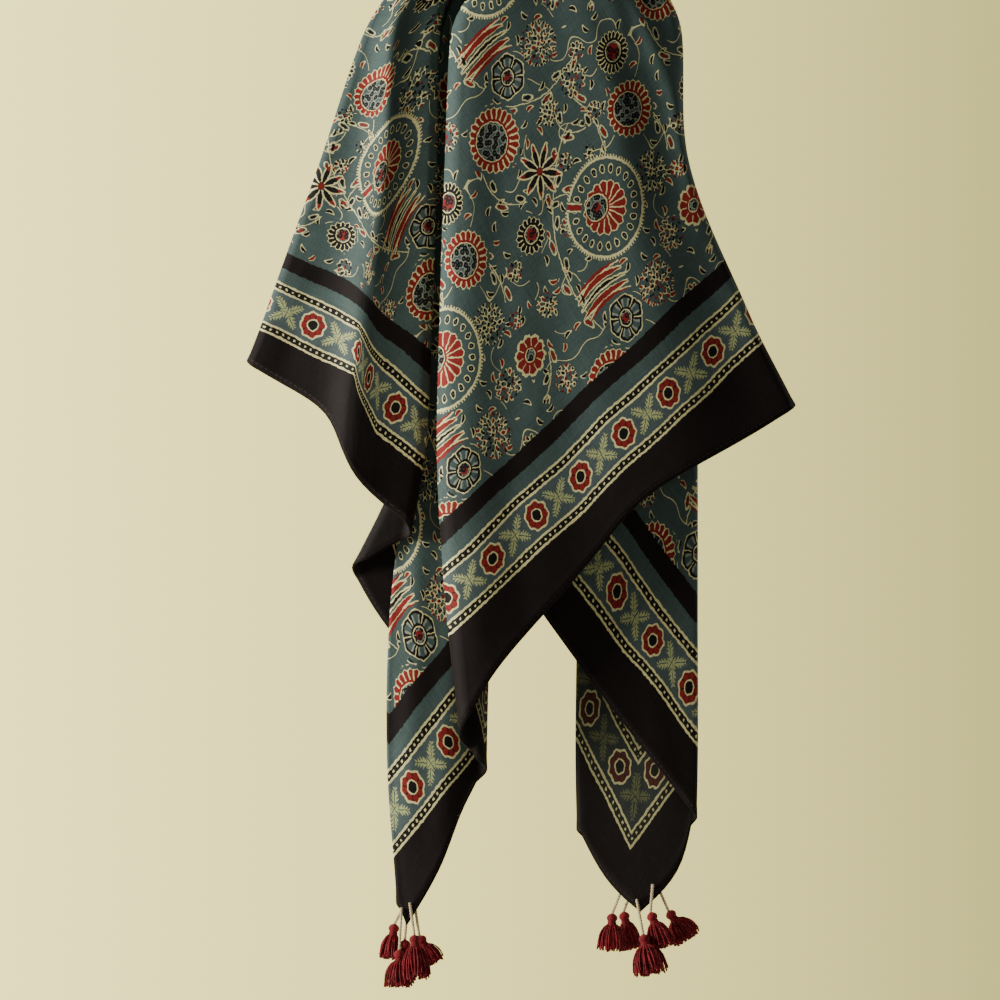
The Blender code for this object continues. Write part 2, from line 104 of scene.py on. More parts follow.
# kind: left and right are turns, where the cloth doubles back on itself; pass is a ridge
# or a hollow in a layer. cap: where it leaves the round cap. x: its place at X_DROPS.
# depth: at DEPTH_DROPS. roll: how much deeper the next layer lies. hem: where it meets
# the hem. drop: how low the hem is there.
X_DROPS = (100, 220, 340, 460, 580, 700, 820, 940)
DEPTH_DROPS = (220, 560, 800)
COLUMNS = ("name", "kind", "cap", "x", "depth", "roll", "hem", "drop")
FOLD_ROWS = (
    ("left_edge", "left", -1.0, (-58, -119, -161, -204, -245, -245, -245, -245), (2, 1, 1), -14, -576, 496),
    ("left_panel", "pass", -0.88, (-50, -108, -124, -141, -152, -152, -152, -152), (-9, -12, -12), 0, -498, 536),
    ("left_ridge", "pass", -0.76, (-44, -98, -109, -126, -140, -140, -140, -140), (-30, -34, -34), 0, -456, 577),
    ("left_fall", "pass", -0.65, (-37, -88, -98, -114, -124, -126, -126, -126), (-18, -21, -21), 0, -424, 601),
    ("valley", "right", -0.53, (-30, -62, -66, -70, -77, -99, -99, -99), (-11, -12, -12), 17, -388, 636),
    ("side_tip", "left", -0.41, (-38, -78, -86, -94, -98, -148, -148, -148), (5.5, 5.5, 5.5), 17, -320, 660),
    ("side_tuck", "right", -0.29, (-26, -50, -54, -57, -60, -70, -76, -76), (11, 11, 11), -6, -216, 752),
    ("corner_edge", "left", -0.18, (-30, -62, -70, -80, -90, -104, -106, -98), (5, 5, 3), -6, -14, 930),
    ("corner_a", "pass", -0.06, (-26, -57, -65, -75, -85, -98, -101, -90), (2, 2, -2), 0, 0, 948),
    ("corner_swell", "pass", 0.06, (-22, -48, -55, -62, -68, -68, -64, -58), (2, 1, -6), 0, 60, 897),
    ("corner_side", "pass", 0.18, (-20, -42, -48, -52, -52, -50, -47, -46), (2, 2, -2), 0, 109, 853),
    ("front_tuck", "right", 0.29, (-8, -16, -8, -6, -12, -23, -27, -27), (-4, -4, -3), -16, 144, 823),
    ("front_edge", "left", 0.41, (-26, -52.5, -59.5, -63.5, -65.6, -58, -46, -46), (-24, -25, -22), -24, 184, 796),
    ("front_swell", "pass", 0.53, (-8, -26, -31, -33, -34, -30, -20, -20), (-40, -42, -36), 0, 232, 749),
    ("front_hollow", "pass", 0.65, (20, 24, 30, 40, 50, 60, 60, 60), (-34, -33, -30), 0, 350, 655),
    ("front_rise", "pass", 0.71, (34, 48, 58, 72, 86, 96, 96, 96), (-36, -36, -32), 0, 402, 612),
    ("front_ridge", "pass", 0.77, (48, 70, 84, 104, 122, 130, 130, 130), (-38, -38, -34), 0, 450, 589),
    ("front_crease", "pass", 0.88, (70, 96, 122, 162, 196, 196, 196, 196), (-28, -28, -28), 0, 530, 552),
    ("right_edge", "right", 1.0, (88, 126, 134, 182, 236, 236, 236, 236), (-18, -18, -18), 16, 576, 532),
    ("right_back", "pass", 0.95, (54, 74, 84, 100, 112, 112, 112, 112), (-10, -10, -9), 0, 700, 592),
    ("back_turn", "left", 0.91, (8, 14, 15, 12, 8, 4, 4, 4), (-6, -6, -5), 8, 836, 680),
    ("second_swell", "pass", 0.85, (40, 60, 66, 72, 75, 75, 75, 75), (-3, -5, -5), 0, 956, 777),
    ("second_edge", "right", 0.77, (76, 108, 118, 141, 142, 142, 142, 139), (3, 3, 3), 8, 1064, 862),
    ("second_round", "pass", 0.69, (70, 98, 110, 130, 134, 134, 134, 130), (7, 7, 6), 0, 1108, 908),
    ("corner_b", "pass", 0.62, (58, 84, 92, 100, 100, 100, 98, 96), (10, 9, 7), 0, 1152, 938),
    ("second_bulge", "pass", 0.54, (40, 60, 66, 72, 72, 72, 72, 64), (10, 10, 9), 0, 1196, 912),
    ("second_side", "left", 0.46, (24, 36, 40, 44, 45, 46, 45, 48), (13, 13, 12), 7, 1236, 872),
    ("third_edge", "right", 0.39, (70, 100, 110, 130, 132, 132, 132, 132), (21, 21, 21), 8, 1337, 804),
    ("back_tuck", "left", 0.31, (-6, -24, -40, -54, -60, -60, -60, -60), (29, 29, 29), 7, 1640, 585),
    ("back_edge", "right", 0.23, (74, 104, 112, 122, 120, 120, 120, 120), (37, 37, 37), 8, 1900, 598),
    ("corner_c", "pass", 0.16, (70, 94, 98, 102, 100, 98, 98, 98), (42, 42, 42), 0, 2028, 643),
    ("back_swell", "pass", 0.08, (30, 46, 50, 52, 52, 52, 52, 52), (49, 50, 50), 0, 2310, 460),
    ("high_hem", "pass", 0.0, (-4, 6, 6, 4, 0, 0, 0, 0), (43, 43, 43), 0, 2604, 297),
    ("back_ridge", "pass", -0.3, (-26, -32, -36, -38, -38, -38, -38, -38), (50, 50, 50), 0, 2900, 470),
    ("corner_d", "pass", -0.6, (-38, -52, -58, -62, -66, -68, -68, -68), (42, 42, 42), 0, 3180, 643),
    ("left_back", "pass", -0.8, (-46, -78, -92, -104, -110, -110, -110, -110), (36, 34, 34), 0, 3330, 517),
)
FOLDS = [dict(zip(COLUMNS, row)) for row in FOLD_ROWS]
RIGHTMOST = 18  # the row where the ring turns from the camera side to the wall side
print("fold lines:", len(FOLDS), "flat cloth:", CLOTH_WIDTH, "by", CLOTH_LENGTH, "mm")

# %% Curves down a fold line
CAP_HALF_WIDTH = 30.0
CAP_HALF_DEPTH = 28.0
CAP_HEIGHT = 34.0
CAP_WIDENS = 0.28  # for each mm below the cap
LAYERS_PART = (44.0, 112.0)
FOLDS_OPEN = (92.0, 240.0)
CAP_TURN_SHARE = 0.3  # how much of the way to the next fold line a turn takes on the cap
SHORT_LAYER = 14.0  # a layer shorter than this slants between its two turns,
SHORT_LAYER_ROLL = 0.5  # which keep this share of their roll
TURN_ROOM = 0.42  # the share of a narrow layer that its turn may take up


def smooth(t):
    """0 to 1 with level ends, for t from 0 to 1."""
    t = min(1.0, max(0.0, t))
    return t * t * (3 - 2 * t)


def along(drops, values, drop):
    """A smooth curve through values at drops, read at one drop."""
    if drop <= drops[0]:
        return values[0] + (values[1] - values[0]) * (drop - drops[0]) / (drops[1] - drops[0])
    if drop >= drops[-1]:
        return values[-1]
    k = next(i for i in range(len(drops) - 1) if drop <= drops[i + 1])
    t = (drop - drops[k]) / (drops[k + 1] - drops[k])
    before, after = values[max(k - 1, 0)], values[min(k + 2, len(values) - 1)]
    slope_in, slope_out = (values[k + 1] - before) / 2, (after - values[k]) / 2
    start = 2 * t**3 - 3 * t**2 + 1
    return (start * values[k] + (t**3 - 2 * t**2 + t) * slope_in
            + (1 - start) * values[k + 1] + (t**3 - t**2) * slope_out)


def cap_spread(drop):
    """How far open the round cap is at a drop, from 0 to 1."""
    return math.sqrt(1 - (1 - min(1.0, drop / CAP_HEIGHT)) ** 2)


def opened(drop):
    """How far the folds are open sideways, from 0 on the cap to 1 below it."""
    return smooth((drop - FOLDS_OPEN[0]) / (FOLDS_OPEN[1] - FOLDS_OPEN[0]))


def fold_x(row, drop):
    """How far right of the held point a fold line lies."""
    fold = FOLDS[row % len(FOLDS)]
    widened = CAP_WIDENS * max(0.0, drop - CAP_HEIGHT)
    on_cap = fold["cap"] * (CAP_HALF_WIDTH * cap_spread(drop) + widened)
    return on_cap + (along(X_DROPS, fold["x"], drop) - on_cap) * opened(drop)


def fold_point(row, drop, angle=0.0):
    """Where a ring passes a fold line; a turn is a half round, entered at -90 and left at 90."""
    fold = FOLDS[row % len(FOLDS)]
    x = fold_x(row, drop)
    depth = along(DEPTH_DROPS, fold["depth"], max(drop, DEPTH_DROPS[0]))
    if fold["kind"] == "pass":
        return x, depth
    side = 1 if fold["kind"] == "right" else -1
    before = fold_x(row - 1, drop) - x
    after = fold_x(row + 1, drop) - x
    radius = min(abs(fold["roll"]) / 2, TURN_ROOM * min(abs(before), abs(after)))
    turn = math.radians(angle)
    on_cap = CAP_TURN_SHARE * abs(angle) / 90 * (after if angle > 0 else before)
    folded = -side * radius * (1 - math.cos(turn))
    share = opened(drop)
    layer = abs(after if angle > 0 else before)
    roll = fold["roll"] * (SHORT_LAYER_ROLL + (1 - SHORT_LAYER_ROLL) * smooth(layer / SHORT_LAYER))
    return x + on_cap * (1 - share) + folded * share, depth + roll / 2 * math.sin(turn)


print("right edge of the front fold at 540 mm:", [round(v, 1) for v in fold_point(18, 540)])

# %% Columns of the sheet
TURN_ANGLES = tuple(range(-90, 91, 22)) + (90,)
COLUMN_SPACING = 9.5  # along the hem, in the layers


def hem_reach(fold, angle):
    """How far along the hem a point of a turn lies."""
    if fold["kind"] == "pass":
        return fold["hem"]
    return fold["hem"] + abs(fold["roll"]) / 2 * math.radians(angle)


def ring_columns():
    """Every column of the ring: its row, turn angle, share of the layer and place on the hem."""
    columns = []
    for row, fold in enumerate(FOLDS):
        following = FOLDS[(row + 1) % len(FOLDS)]
        angles = (0,) if fold["kind"] == "pass" else TURN_ANGLES
        for angle in angles:
            columns.append({"row": row, "angle": angle, "share": 0, "hem": hem_reach(fold, angle)})
        start = hem_reach(fold, 90)
        end = hem_reach(following, -90)
        if end < start:
            end += HEM_ROUND
        extra = int((end - start) / COLUMN_SPACING)
        for n in range(1, extra + 1):
            share = n / (extra + 1)
            hem = start + (end - start) * share
            columns.append({"row": row, "angle": None, "share": share, "hem": hem})
    return columns


columns = ring_columns()
print("columns round the sheet:", len(columns))

# %% [markdown]
# ## The sheet itself
#
# A sheet this thin could be one surface with a Solidify modifier. It is built here as its
# own closed shell instead, with a printed face, a reverse face and a rolled hem between
# them, because then each face can have its own place in the bake map. Every point knows
# its place on the flat cloth, (0, 0) being the held point, and the whole print is drawn
# in those flat coordinates: so it bends, turns and hides with the folds, as real print does.

# %% Where a column lies, how far it reaches, and its place on the flat cloth
def hem_drop(hem):
    """How low the hem hangs at a place along it."""
    points = sorted((fold["hem"] % HEM_ROUND, fold["drop"]) for fold in FOLDS)
    points = [(points[-1][0] - HEM_ROUND, points[-1][1])] + points
    points.append((points[1][0] + HEM_ROUND, points[1][1]))
    hem %= HEM_ROUND
    for (h0, d0), (h1, d1) in zip(points, points[1:]):
        if h0 <= hem <= h1:
            return d0 + (d1 - d0) * (hem - h0) / (h1 - h0)
    raise ValueError(hem)


def flat_hem_point(hem):
    """The flat cloth's hem at a place along it, as seen from the held point."""
    hem %= HEM_ROUND
    half = CLOTH_WIDTH / 2
    if hem <= HEM_CORNER_B:
        return hem - half, -HELD_TO_LOW_HEM
    if hem <= HEM_CORNER_C:
        return half, hem - HEM_CORNER_B - HELD_TO_LOW_HEM
    if hem <= HEM_CORNER_D:
        return half - (hem - HEM_CORNER_C), HELD_TO_HIGH_HEM
    return -half, HELD_TO_HIGH_HEM - (hem - HEM_CORNER_D)


def cap_depth(column):
    """Where a column leaves the round cap, as a share of its half depth."""
    share = CAP_TURN_SHARE * (column["angle"] or 0) / 90
    if column["angle"] is None:
        share = CAP_TURN_SHARE + (1 - 2 * CAP_TURN_SHARE) * column["share"]
    row = column["row"]
    here = FOLDS[row]["cap"]
    other = FOLDS[(row + (1 if share > 0 else -1)) % len(FOLDS)]["cap"]
    across = here + (other - here) * abs(share)
    deep = math.sqrt(max(0, 1 - across**2))
    return -deep if 0 < row + share < RIGHTMOST else deep


def cloth_point(column, drop):
    """A point of the hanging cloth."""
    if column["angle"] is None:
        start = fold_point(column["row"], drop, 90)
        end = fold_point(column["row"] + 1, drop, -90)
        x = start[0] + (end[0] - start[0]) * column["share"]
        depth = start[1] + (end[1] - start[1]) * smooth(column["share"])
    else:
        x, depth = fold_point(column["row"], drop, column["angle"])
    cap_y = CAP_HALF_DEPTH * cap_spread(drop) * cap_depth(column)
    parted = smooth((drop - LAYERS_PART[0]) / (LAYERS_PART[1] - LAYERS_PART[0]))
    return x, cap_y + (depth - cap_y) * parted, -drop


CORNERS = (0, HEM_CORNER_B, HEM_CORNER_C, HEM_CORNER_D)
CORNER_KEPT = 26.0  # this near a corner the hem isn't softened
hem_drops = np.array([hem_drop(column["hem"]) for column in columns])
column_hems = np.array([column["hem"] for column in columns], float)
in_layer = np.array([column["angle"] is None or FOLDS[column["row"]]["kind"] == "pass"
                     for column in columns])
off_corners = np.all([abs(column_hems - corner) > CORNER_KEPT for corner in CORNERS], axis=0)
hem_softens = in_layer & off_corners
HEM_SOFTENINGS = 8
for _ in range(HEM_SOFTENINGS):
    beside = (np.roll(hem_drops, 1) + np.roll(hem_drops, -1)) / 2
    hem_drops = np.where(hem_softens, (hem_drops + beside) / 2, hem_drops)
print("hem hangs from", round(min(hem_drops)), "to", round(max(hem_drops)),
      "mm below the held point")

# %% The middle surface, as a grid of rings and columns
TOP_RINGS = (3, 7, 12, 18, 25, 33, 42, 51, 60, 68, 76, 84, 92, 100)
LOWER_RINGS = 76
RING_SPREAD = 1.06  # lower rings lie closer together near the top

middle = []
flat = []
for ring in range(1, len(TOP_RINGS) + LOWER_RINGS + 1):
    for column, lowest in zip(columns, hem_drops):
        if ring <= len(TOP_RINGS):
            drop = TOP_RINGS[ring - 1]
        else:
            share = ((ring - len(TOP_RINGS)) / LOWER_RINGS) ** RING_SPREAD
            drop = TOP_RINGS[-1] + (lowest - TOP_RINGS[-1]) * share
        u, v = flat_hem_point(column["hem"])
        middle.append(cloth_point(column, drop))
        flat.append((u * drop / lowest, v * drop / lowest))
RINGS = len(TOP_RINGS) + LOWER_RINGS
middle = np.array(middle).reshape(RINGS, len(columns), 3)
flat = np.array(flat).reshape(RINGS, len(columns), 2)
print("rings:", RINGS, "points:", middle.shape[0] * middle.shape[1])

# %% Round passes from fold to fold
PASS_SOFTENINGS = 10
for _ in range(PASS_SOFTENINGS):
    beside = (np.roll(middle, 1, axis=1) + np.roll(middle, -1, axis=1)) / 2
    middle[:, in_layer, :2] = ((middle + beside) / 2)[:, in_layer, :2]

# %% Soft creases, drawn inside the layers
CREASE_COLUMNS = ("name", "first_row", "last_row", "path", "half_width", "height")
# first_row, last_row: the fold lines it lies between. path: places as x and drop.
# height: how far it stands out to the camera; a trough's is below 0.
CREASE_ROWS = (
    ("front_top_crease", 12, 18, ((84, 200), (94, 222), (122, 287), (140, 380)), 8, 3.4),
    ("front_top_trough", 12, 18, ((60, 200), (72, 240), (98, 300), (112, 390)), 13, -3.0),
    ("front_left_ridge", 12, 18, ((-46, 230), (-50, 400), (-50, 560), (-38, 740)), 15, 2.6),
    ("front_left_trough", 12, 18, ((-16, 230), (-18, 400), (-12, 560), (2, 700)), 17, -2.6),
    ("front_long_ridge", 12, 18, ((14, 240), (44, 420), (72, 600)), 24, 1.8),
    ("front_right_trough", 12, 18, ((118, 330), (150, 450), (180, 540)), 26, -2.2),
    ("left_pleat", 0, 4, ((-98, 205), (-104, 250), (-106, 330), (-116, 430)), 6, 1.5),
    ("left_hollow", 0, 4, ((-112, 260), (-160, 420), (-196, 520)), 14, -1.5),
    ("left_low_ridge", 0, 4, ((-150, 380), (-182, 450), (-214, 520)), 12, 1.3),
    ("corner_ridge", 7, 11, ((-80, 560), (-84, 700), (-90, 860)), 7, 1.3),
    ("corner_hollow", 7, 11, ((-64, 600), (-66, 760), (-76, 880)), 9, -1.2),
    ("second_ridge", 20, 24, ((100, 620), (108, 740), (116, 860)), 11, 1.3),
)
CREASE_FADES_OVER = 60.0  # at both ends of a path
CREASES = [dict(zip(CREASE_COLUMNS, row)) for row in CREASE_ROWS]
column_rows = np.array([column["row"] + (column["share"] if column["angle"] is None else
                                         0.001 * column["angle"] / 90) for column in columns])
drops = -middle[:, :, 2]
relief = np.zeros(drops.shape)
for crease in CREASES:
    first, last = crease["first_row"], crease["last_row"]
    from_first = np.clip((column_rows - first) * 500 + 0.5, 0, 1)
    held = from_first * np.clip((last - column_rows) * 500 + 0.5, 0, 1)
    path_x, path_drop = np.array(crease["path"], float).T
    off = (middle[:, :, 0] - np.interp(drops, path_drop, path_x)) / crease["half_width"]
    from_end = np.minimum(drops - path_drop[0], path_drop[-1] - drops)
    fades = np.clip(from_end / CREASE_FADES_OVER + 0.5, 0, 1)
    relief += crease["height"] * np.exp(-off**2) * fades * held
middle[:, :, 1] -= relief
print("creases:", len(CREASES), "relief from", relief.min().round(1),
      "to", relief.max().round(1), "mm")

# %% [markdown]
# ## Where the print lies on each fold
#
# Rays from the held point give every point a place on the flat cloth. But silk gives
# when it hangs on the bias: a fold that falls along the cloth's diagonal grows longer and
# narrower, and its print with it. So each fold that shows has its own slant and stretch,
# one spot whose place on the flat cloth is known, and how far a step to the right and a
# step down go there. Between two such folds the print slides over in the hidden cloth.

# %% Slant and stretch of the print on the folds that show
PRINT_COLUMNS = ("first_row", "last_row", "spot", "flat", "right", "down")
# first_row, last_row: the fold lines it lies between. spot: x and drop. flat: the place
# there. right, down: how far a millimetre to the right or down goes on the flat cloth.
PRINT_ROWS = (
    (0, 2, (-159.2, 472.8), (-535.0, -187.0), (0.445, -0.878), (-0.925, -0.423)),
    (3, 4, (-95.2, 538.4), (-535.0, -325.0), (0.544, -0.921), (-0.673, -0.541)),
    (7, 11, (-100.8, 894.4), (-548.5, -548.5), (0.907, -0.726), (-0.560, -0.565)),
    (12, 18, (117.6, 523.2), (-88.2, -527.0), (0.879, -0.661), (-0.471, -0.708)),
    (20, 22, (106.4, 720.0), (418.8, -527.0), (0.932, 0.721), (0.483, -0.552)),
    (23, 26, (89.6, 889.6), (556.5, -548.5), (-0.909, -0.804), (0.454, -0.560)),
)
PRINTS = [dict(zip(PRINT_COLUMNS, row)) for row in PRINT_ROWS]
HELD_POINT_IN_PRINT = (0.0, -110.0)
PRINT_FADES = (30.0, 190.0)  # above this drop the folds' own slants give way to the rays

cut_place = flat.copy()  # the rays' own places, for the bake map
own = np.clip((drops - PRINT_FADES[0]) / (PRINT_FADES[1] - PRINT_FADES[0]), 0, 1)[..., None]
ring_share = (drops / hem_drops)[..., None]
common = np.array(HELD_POINT_IN_PRINT) * (1 - ring_share)
knots, slides = [], []
for print_row in PRINTS:
    inside = np.flatnonzero((column_rows >= print_row["first_row"] - 0.0005)
                            & (column_rows <= print_row["last_row"] + 0.0005))
    step = middle[:, inside][..., [0, 2]] * (1, -1) - np.array(print_row["spot"])
    there = (np.array(print_row["flat"]) + step[..., :1] * np.array(print_row["right"])
             + step[..., 1:] * np.array(print_row["down"]))
    slide = there - flat[:, inside]
    slide = common[:, inside] + (slide - common[:, inside]) * own[:, inside]
    knots += list(column_hems[inside])
    slides += [slide[:, n] for n in range(len(inside))]
for hem in (column_hems.max() - 700, column_hems.max() - 350):  # the wall side
    knots.append(hem)
    slides.append(common[:, int(np.argmin(abs(column_hems - hem)))])
order = np.argsort(knots)
knots, slides = np.array(knots)[order], np.array(slides)[order]
knots = np.concatenate([knots, [knots[0] + HEM_ROUND]])
slides = np.concatenate([slides, slides[:1]])
for ring in range(RINGS):
    for axis in (0, 1):
        flat[ring, :, axis] += np.interp(column_hems, knots, slides[:, ring, axis])
left_folds = column_rows <= 5
for step in range(26):  # the print eases from slant to slant over the left folds
    beside = (np.roll(flat, 1, axis=1) + np.roll(flat, -1, axis=1)) / 2
    eases = (left_folds[None, :] & (drops < 470 - 5 * step))[..., None]
    flat = np.where(eases & in_layer[None, :, None], (flat + beside) / 2, flat)
print("the print is laid on", len(PRINTS), "folds; it spans",
      np.round(flat.min((0, 1))), "to", np.round(flat.max((0, 1))), "mm")

# %% Two faces and a rolled hem make a closed shell
THICKNESS = 0.9
HEM_THICKNESS = 2.0  # the hem is rolled over once and stitched
HEM_OUT = 0.4


def unit(vectors):
    return vectors / np.maximum(np.linalg.norm(vectors, axis=-1, keepdims=True), 1e-9)


round_way = np.roll(middle, -1, axis=1) - np.roll(middle, 1, axis=1)
down_way = np.gradient(middle, axis=0)
outwards = unit(np.cross(down_way, round_way))
half_thickness = np.full((RINGS, 1, 1), THICKNESS / 2)
half_thickness[-1] = HEM_THICKNESS / 2
printed = middle + outwards * half_thickness
reverse = middle - outwards * half_thickness
hem_edge = middle[-1] + unit(down_way[-1]) * HEM_OUT
points = np.concatenate([
    [[0, 0, THICKNESS / 2]], printed.reshape(-1, 3), hem_edge, reverse.reshape(-1, 3),
    [[0, 0, -THICKNESS / 2]],
])
flats = np.concatenate([
    [[0, 0]], flat.reshape(-1, 2), flat[-1] * 1.002, flat.reshape(-1, 2), [[0, 0]],
])
cut_places = np.concatenate([
    [[0, 0]], cut_place.reshape(-1, 2), cut_place[-1], cut_place.reshape(-1, 2), [[0, 0]],
])
to_hem = np.linalg.norm(middle[-1] - middle, axis=-1).reshape(-1)
longest = [hem_drops.max()]
to_hems = np.concatenate([longest, to_hem, np.zeros(len(columns)), to_hem, longest])
hem_places = np.concatenate([[0], np.tile(column_hems, 2 * RINGS + 1), [0]])
print("shell points:", len(points))

# %% Faces of the shell
count = len(columns)
last = len(points) - 1
reverse_start = RINGS + 1  # the first ring of the reverse; ring number RINGS is the hem's edge
ring_order = list(range(reverse_start)) + list(range(2 * RINGS, RINGS, -1))
faces = [(0, 1 + i, 1 + (i + 1) % count) for i in range(count)]
for above, below in zip(ring_order, ring_order[1:]):
    top, low = 1 + above * count, 1 + below * count
    for i in range(count):
        j = (i + 1) % count
        faces.append((top + i, low + i, low + j, top + j))
low = 1 + reverse_start * count
faces += [(last, low + (i + 1) % count, low + i) for i in range(count)]
print("triangles:", 2 * len(faces) - 2 * count)

# %% The mesh, with its flat coordinates and its bake map
BAKE_MARGIN = 0.006


def bake_place(flat_point, on_reverse):
    """The printed face fills the left half of the bake map and the reverse the right half."""
    across = (flat_point[0] + CLOTH_WIDTH / 2) / CLOTH_WIDTH
    up = (flat_point[1] + HELD_TO_LOW_HEM) / CLOTH_LENGTH
    left = 0.5 if on_reverse else 0.0
    return (left + BAKE_MARGIN + across * (0.5 - 2 * BAKE_MARGIN),
            BAKE_MARGIN + up * (1 - 2 * BAKE_MARGIN))


cloth_mesh = bpy.data.meshes.new("printed_silk_cloth")
cloth_mesh.from_pydata((points * MM).tolist(), [], faces)
cloth_mesh.shade_smooth()
flat_map = cloth_mesh.uv_layers.new(name="flat_cloth")
bake_map = cloth_mesh.uv_layers.new(name="OFBake")
first_reverse_point = 1 + reverse_start * count
for face in cloth_mesh.polygons:
    on_reverse = max(face.vertices) >= first_reverse_point
    for loop in face.loop_indices:
        vertex = cloth_mesh.loops[loop].vertex_index
        flat_map.data[loop].uv = flats[vertex] * MM
        bake_map.data[loop].uv = bake_place(cut_places[vertex], on_reverse)
for name, values in (("reverse_side", np.arange(len(points)) >= first_reverse_point),
                     ("to_hem", to_hems), ("hem_place", hem_places)):
    attribute = cloth_mesh.attributes.new(name, "FLOAT", "POINT")
    attribute.data.foreach_set("value", values.astype(np.float32))
cloth = bpy.data.objects.new("printed_silk_cloth", cloth_mesh)
bpy.context.scene.collection.objects.link(cloth)
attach(cloth, "root")
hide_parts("cloth")
sheet_area = sum(face.area for face in cloth_mesh.polygons) / 2
print("cloth area on one side:", round(sheet_area, 3), "m2, cut from",
      CLOTH_WIDTH * CLOTH_LENGTH * MM * MM)

# %% [markdown]
# ## The printed silk
#
# Such a cloth is printed by hand with carved blocks: first a resist, which keeps the silk
# cream, then black for the dark lines, red for the petals, and a last dip for the blue
# green ground. A painted image could carry all that, but here the print is drawn by the
# material itself, out of distances and angles on the flat cloth, in millimetres. Small
# waves in those coordinates give the uneven edges that a block leaves on silk.
#
# Each shader node below does one sum. So that a motif can be read as a sum too, a small
# class stands for a node's output, and plus, minus, less than and so on add a node.

# %% Sums as shader nodes
silk = bpy.data.materials.new("printed_silk")
silk.use_nodes = True
silk_tree = silk.node_tree
silk_shader = silk_tree.nodes["Principled BSDF"]


class Wire:
    """A node's output. A sum of wires and numbers adds a node and gives its output."""

    def __init__(self, socket):
        self.socket = socket

    def __add__(self, other):
        return sums("ADD", self, other)

    def __sub__(self, other):
        return sums("SUBTRACT", self, other)

    def __rsub__(self, other):
        return sums("SUBTRACT", other, self)

    def __mul__(self, other):
        return sums("MULTIPLY", self, other)

    def __lt__(self, other):
        return sums("LESS_THAN", self, other)

    def __gt__(self, other):
        return sums("GREATER_THAN", self, other)

    def __and__(self, other):
        return sums("MULTIPLY", self, other)

    def __or__(self, other):
        return sums("MAXIMUM", self, other)

    def __abs__(self):
        return sums("ABSOLUTE", self)

    __radd__ = __add__
    __rmul__ = __mul__


def feed(node, values):
    for socket, value in zip(node.inputs, values):
        if isinstance(value, Wire):
            silk_tree.links.new(value.socket, socket)
        else:
            socket.default_value = value


def sums(kind, *values):
    node = silk_tree.nodes.new("ShaderNodeMath")
    node.operation = kind
    feed(node, values)
    return Wire(node.outputs["Value"])


def vectors(kind, *values, out="Vector"):
    node = silk_tree.nodes.new("ShaderNodeVectorMath")
    node.operation = kind
    feed(node, values)
    return Wire(node.outputs[out])


def parts(vector):
    """The x and y of a place on the flat cloth."""
    node = silk_tree.nodes.new("ShaderNodeSeparateXYZ")
    feed(node, [vector])
    return Wire(node.outputs["X"]), Wire(node.outputs["Y"])


def near(value, centre, half):
    """1 where value is within half of centre, and 0 elsewhere."""
    return sums("COMPARE", value, centre, half)


def length(vector):
    return vectors("LENGTH", vector, out="Value")


def share_of_turn(x, y):
    """The angle of a place as a share of a whole turn, from -0.5 to 0.5."""
    return sums("ARCTAN2", y, x) * (0.5 / math.pi)


def apart(value):
    """How far a value is from the nearest whole number, from 0 to 0.5."""
    return sums("PINGPONG", value, 0.5)


print("shader nodes so far:", len(silk_tree.nodes))

# %% Flat coordinates with the waver of hand printing
flat_node = silk_tree.nodes.new("ShaderNodeUVMap")
flat_node.uv_map = "flat_cloth"
place = vectors("SCALE", Wire(flat_node.outputs["UV"]), (0, 0, 0), (0, 0, 0), 1 / MM)


def noise(where, size, detail=1.0):
    """Soft noise with features of about size mm; gives its value and its colour."""
    node = silk_tree.nodes.new("ShaderNodeTexNoise")
    node.noise_dimensions = "2D"
    feed(node, [where])
    node.inputs["Scale"].default_value = 1 / size
    node.inputs["Detail"].default_value = detail
    return Wire(node.outputs["Fac"]), Wire(node.outputs["Color"])


fine_waver = vectors("SUBTRACT", noise(place, 3.4, 2.0)[1], (0.5, 0.5, 0.5))
slow_waver = vectors("SUBTRACT", noise(place, 46.0, 0.0)[1], (0.5, 0.5, 0.5))
printed_at = vectors("MULTIPLY_ADD", fine_waver, (1.7, 1.7, 0), place)
printed_at = vectors("MULTIPLY_ADD", slow_waver, (3.5, 3.5, 0), printed_at)
u, v = parts(printed_at)
print("shader nodes so far:", len(silk_tree.nodes))

# %% [markdown]
# ### The border
#
# Its bands run parallel to the hem, so each is a range of distances from the nearest hem,
# and at a corner they meet in a mitre by themselves. Going in from the hem: a wide dark
# band, a black line with pale dots between two cream lines, a row of red rosettes with
# leafy sprigs between them, the dotted line again, plain ground, and a dark stripe.

# %% Distances from the hem, and places along it
PRINT_HALF_WIDTH = 584.0
from_side = PRINT_HALF_WIDTH - abs(u)
from_low = v + HELD_TO_LOW_HEM
from_high = HELD_TO_HIGH_HEM - v
from_end = sums("MINIMUM", from_low, from_high)
from_hem = sums("MINIMUM", from_side, from_end)
on_side = from_side < from_end
# along the side hems v counts, and along the other two u does
along_hem = u + (v - u) * on_side

DARK_HEM = 27.5
LINE_WIDTH = 8.0
ROSETTE_BAND = (35.5, 62.5)
PLAIN_BAND_END = 82.0
STRIPE_END = 95.0
ROSETTE_PITCH = 46.1
ROSETTE_PHASE = -503.0  # of a rosette, along the hem

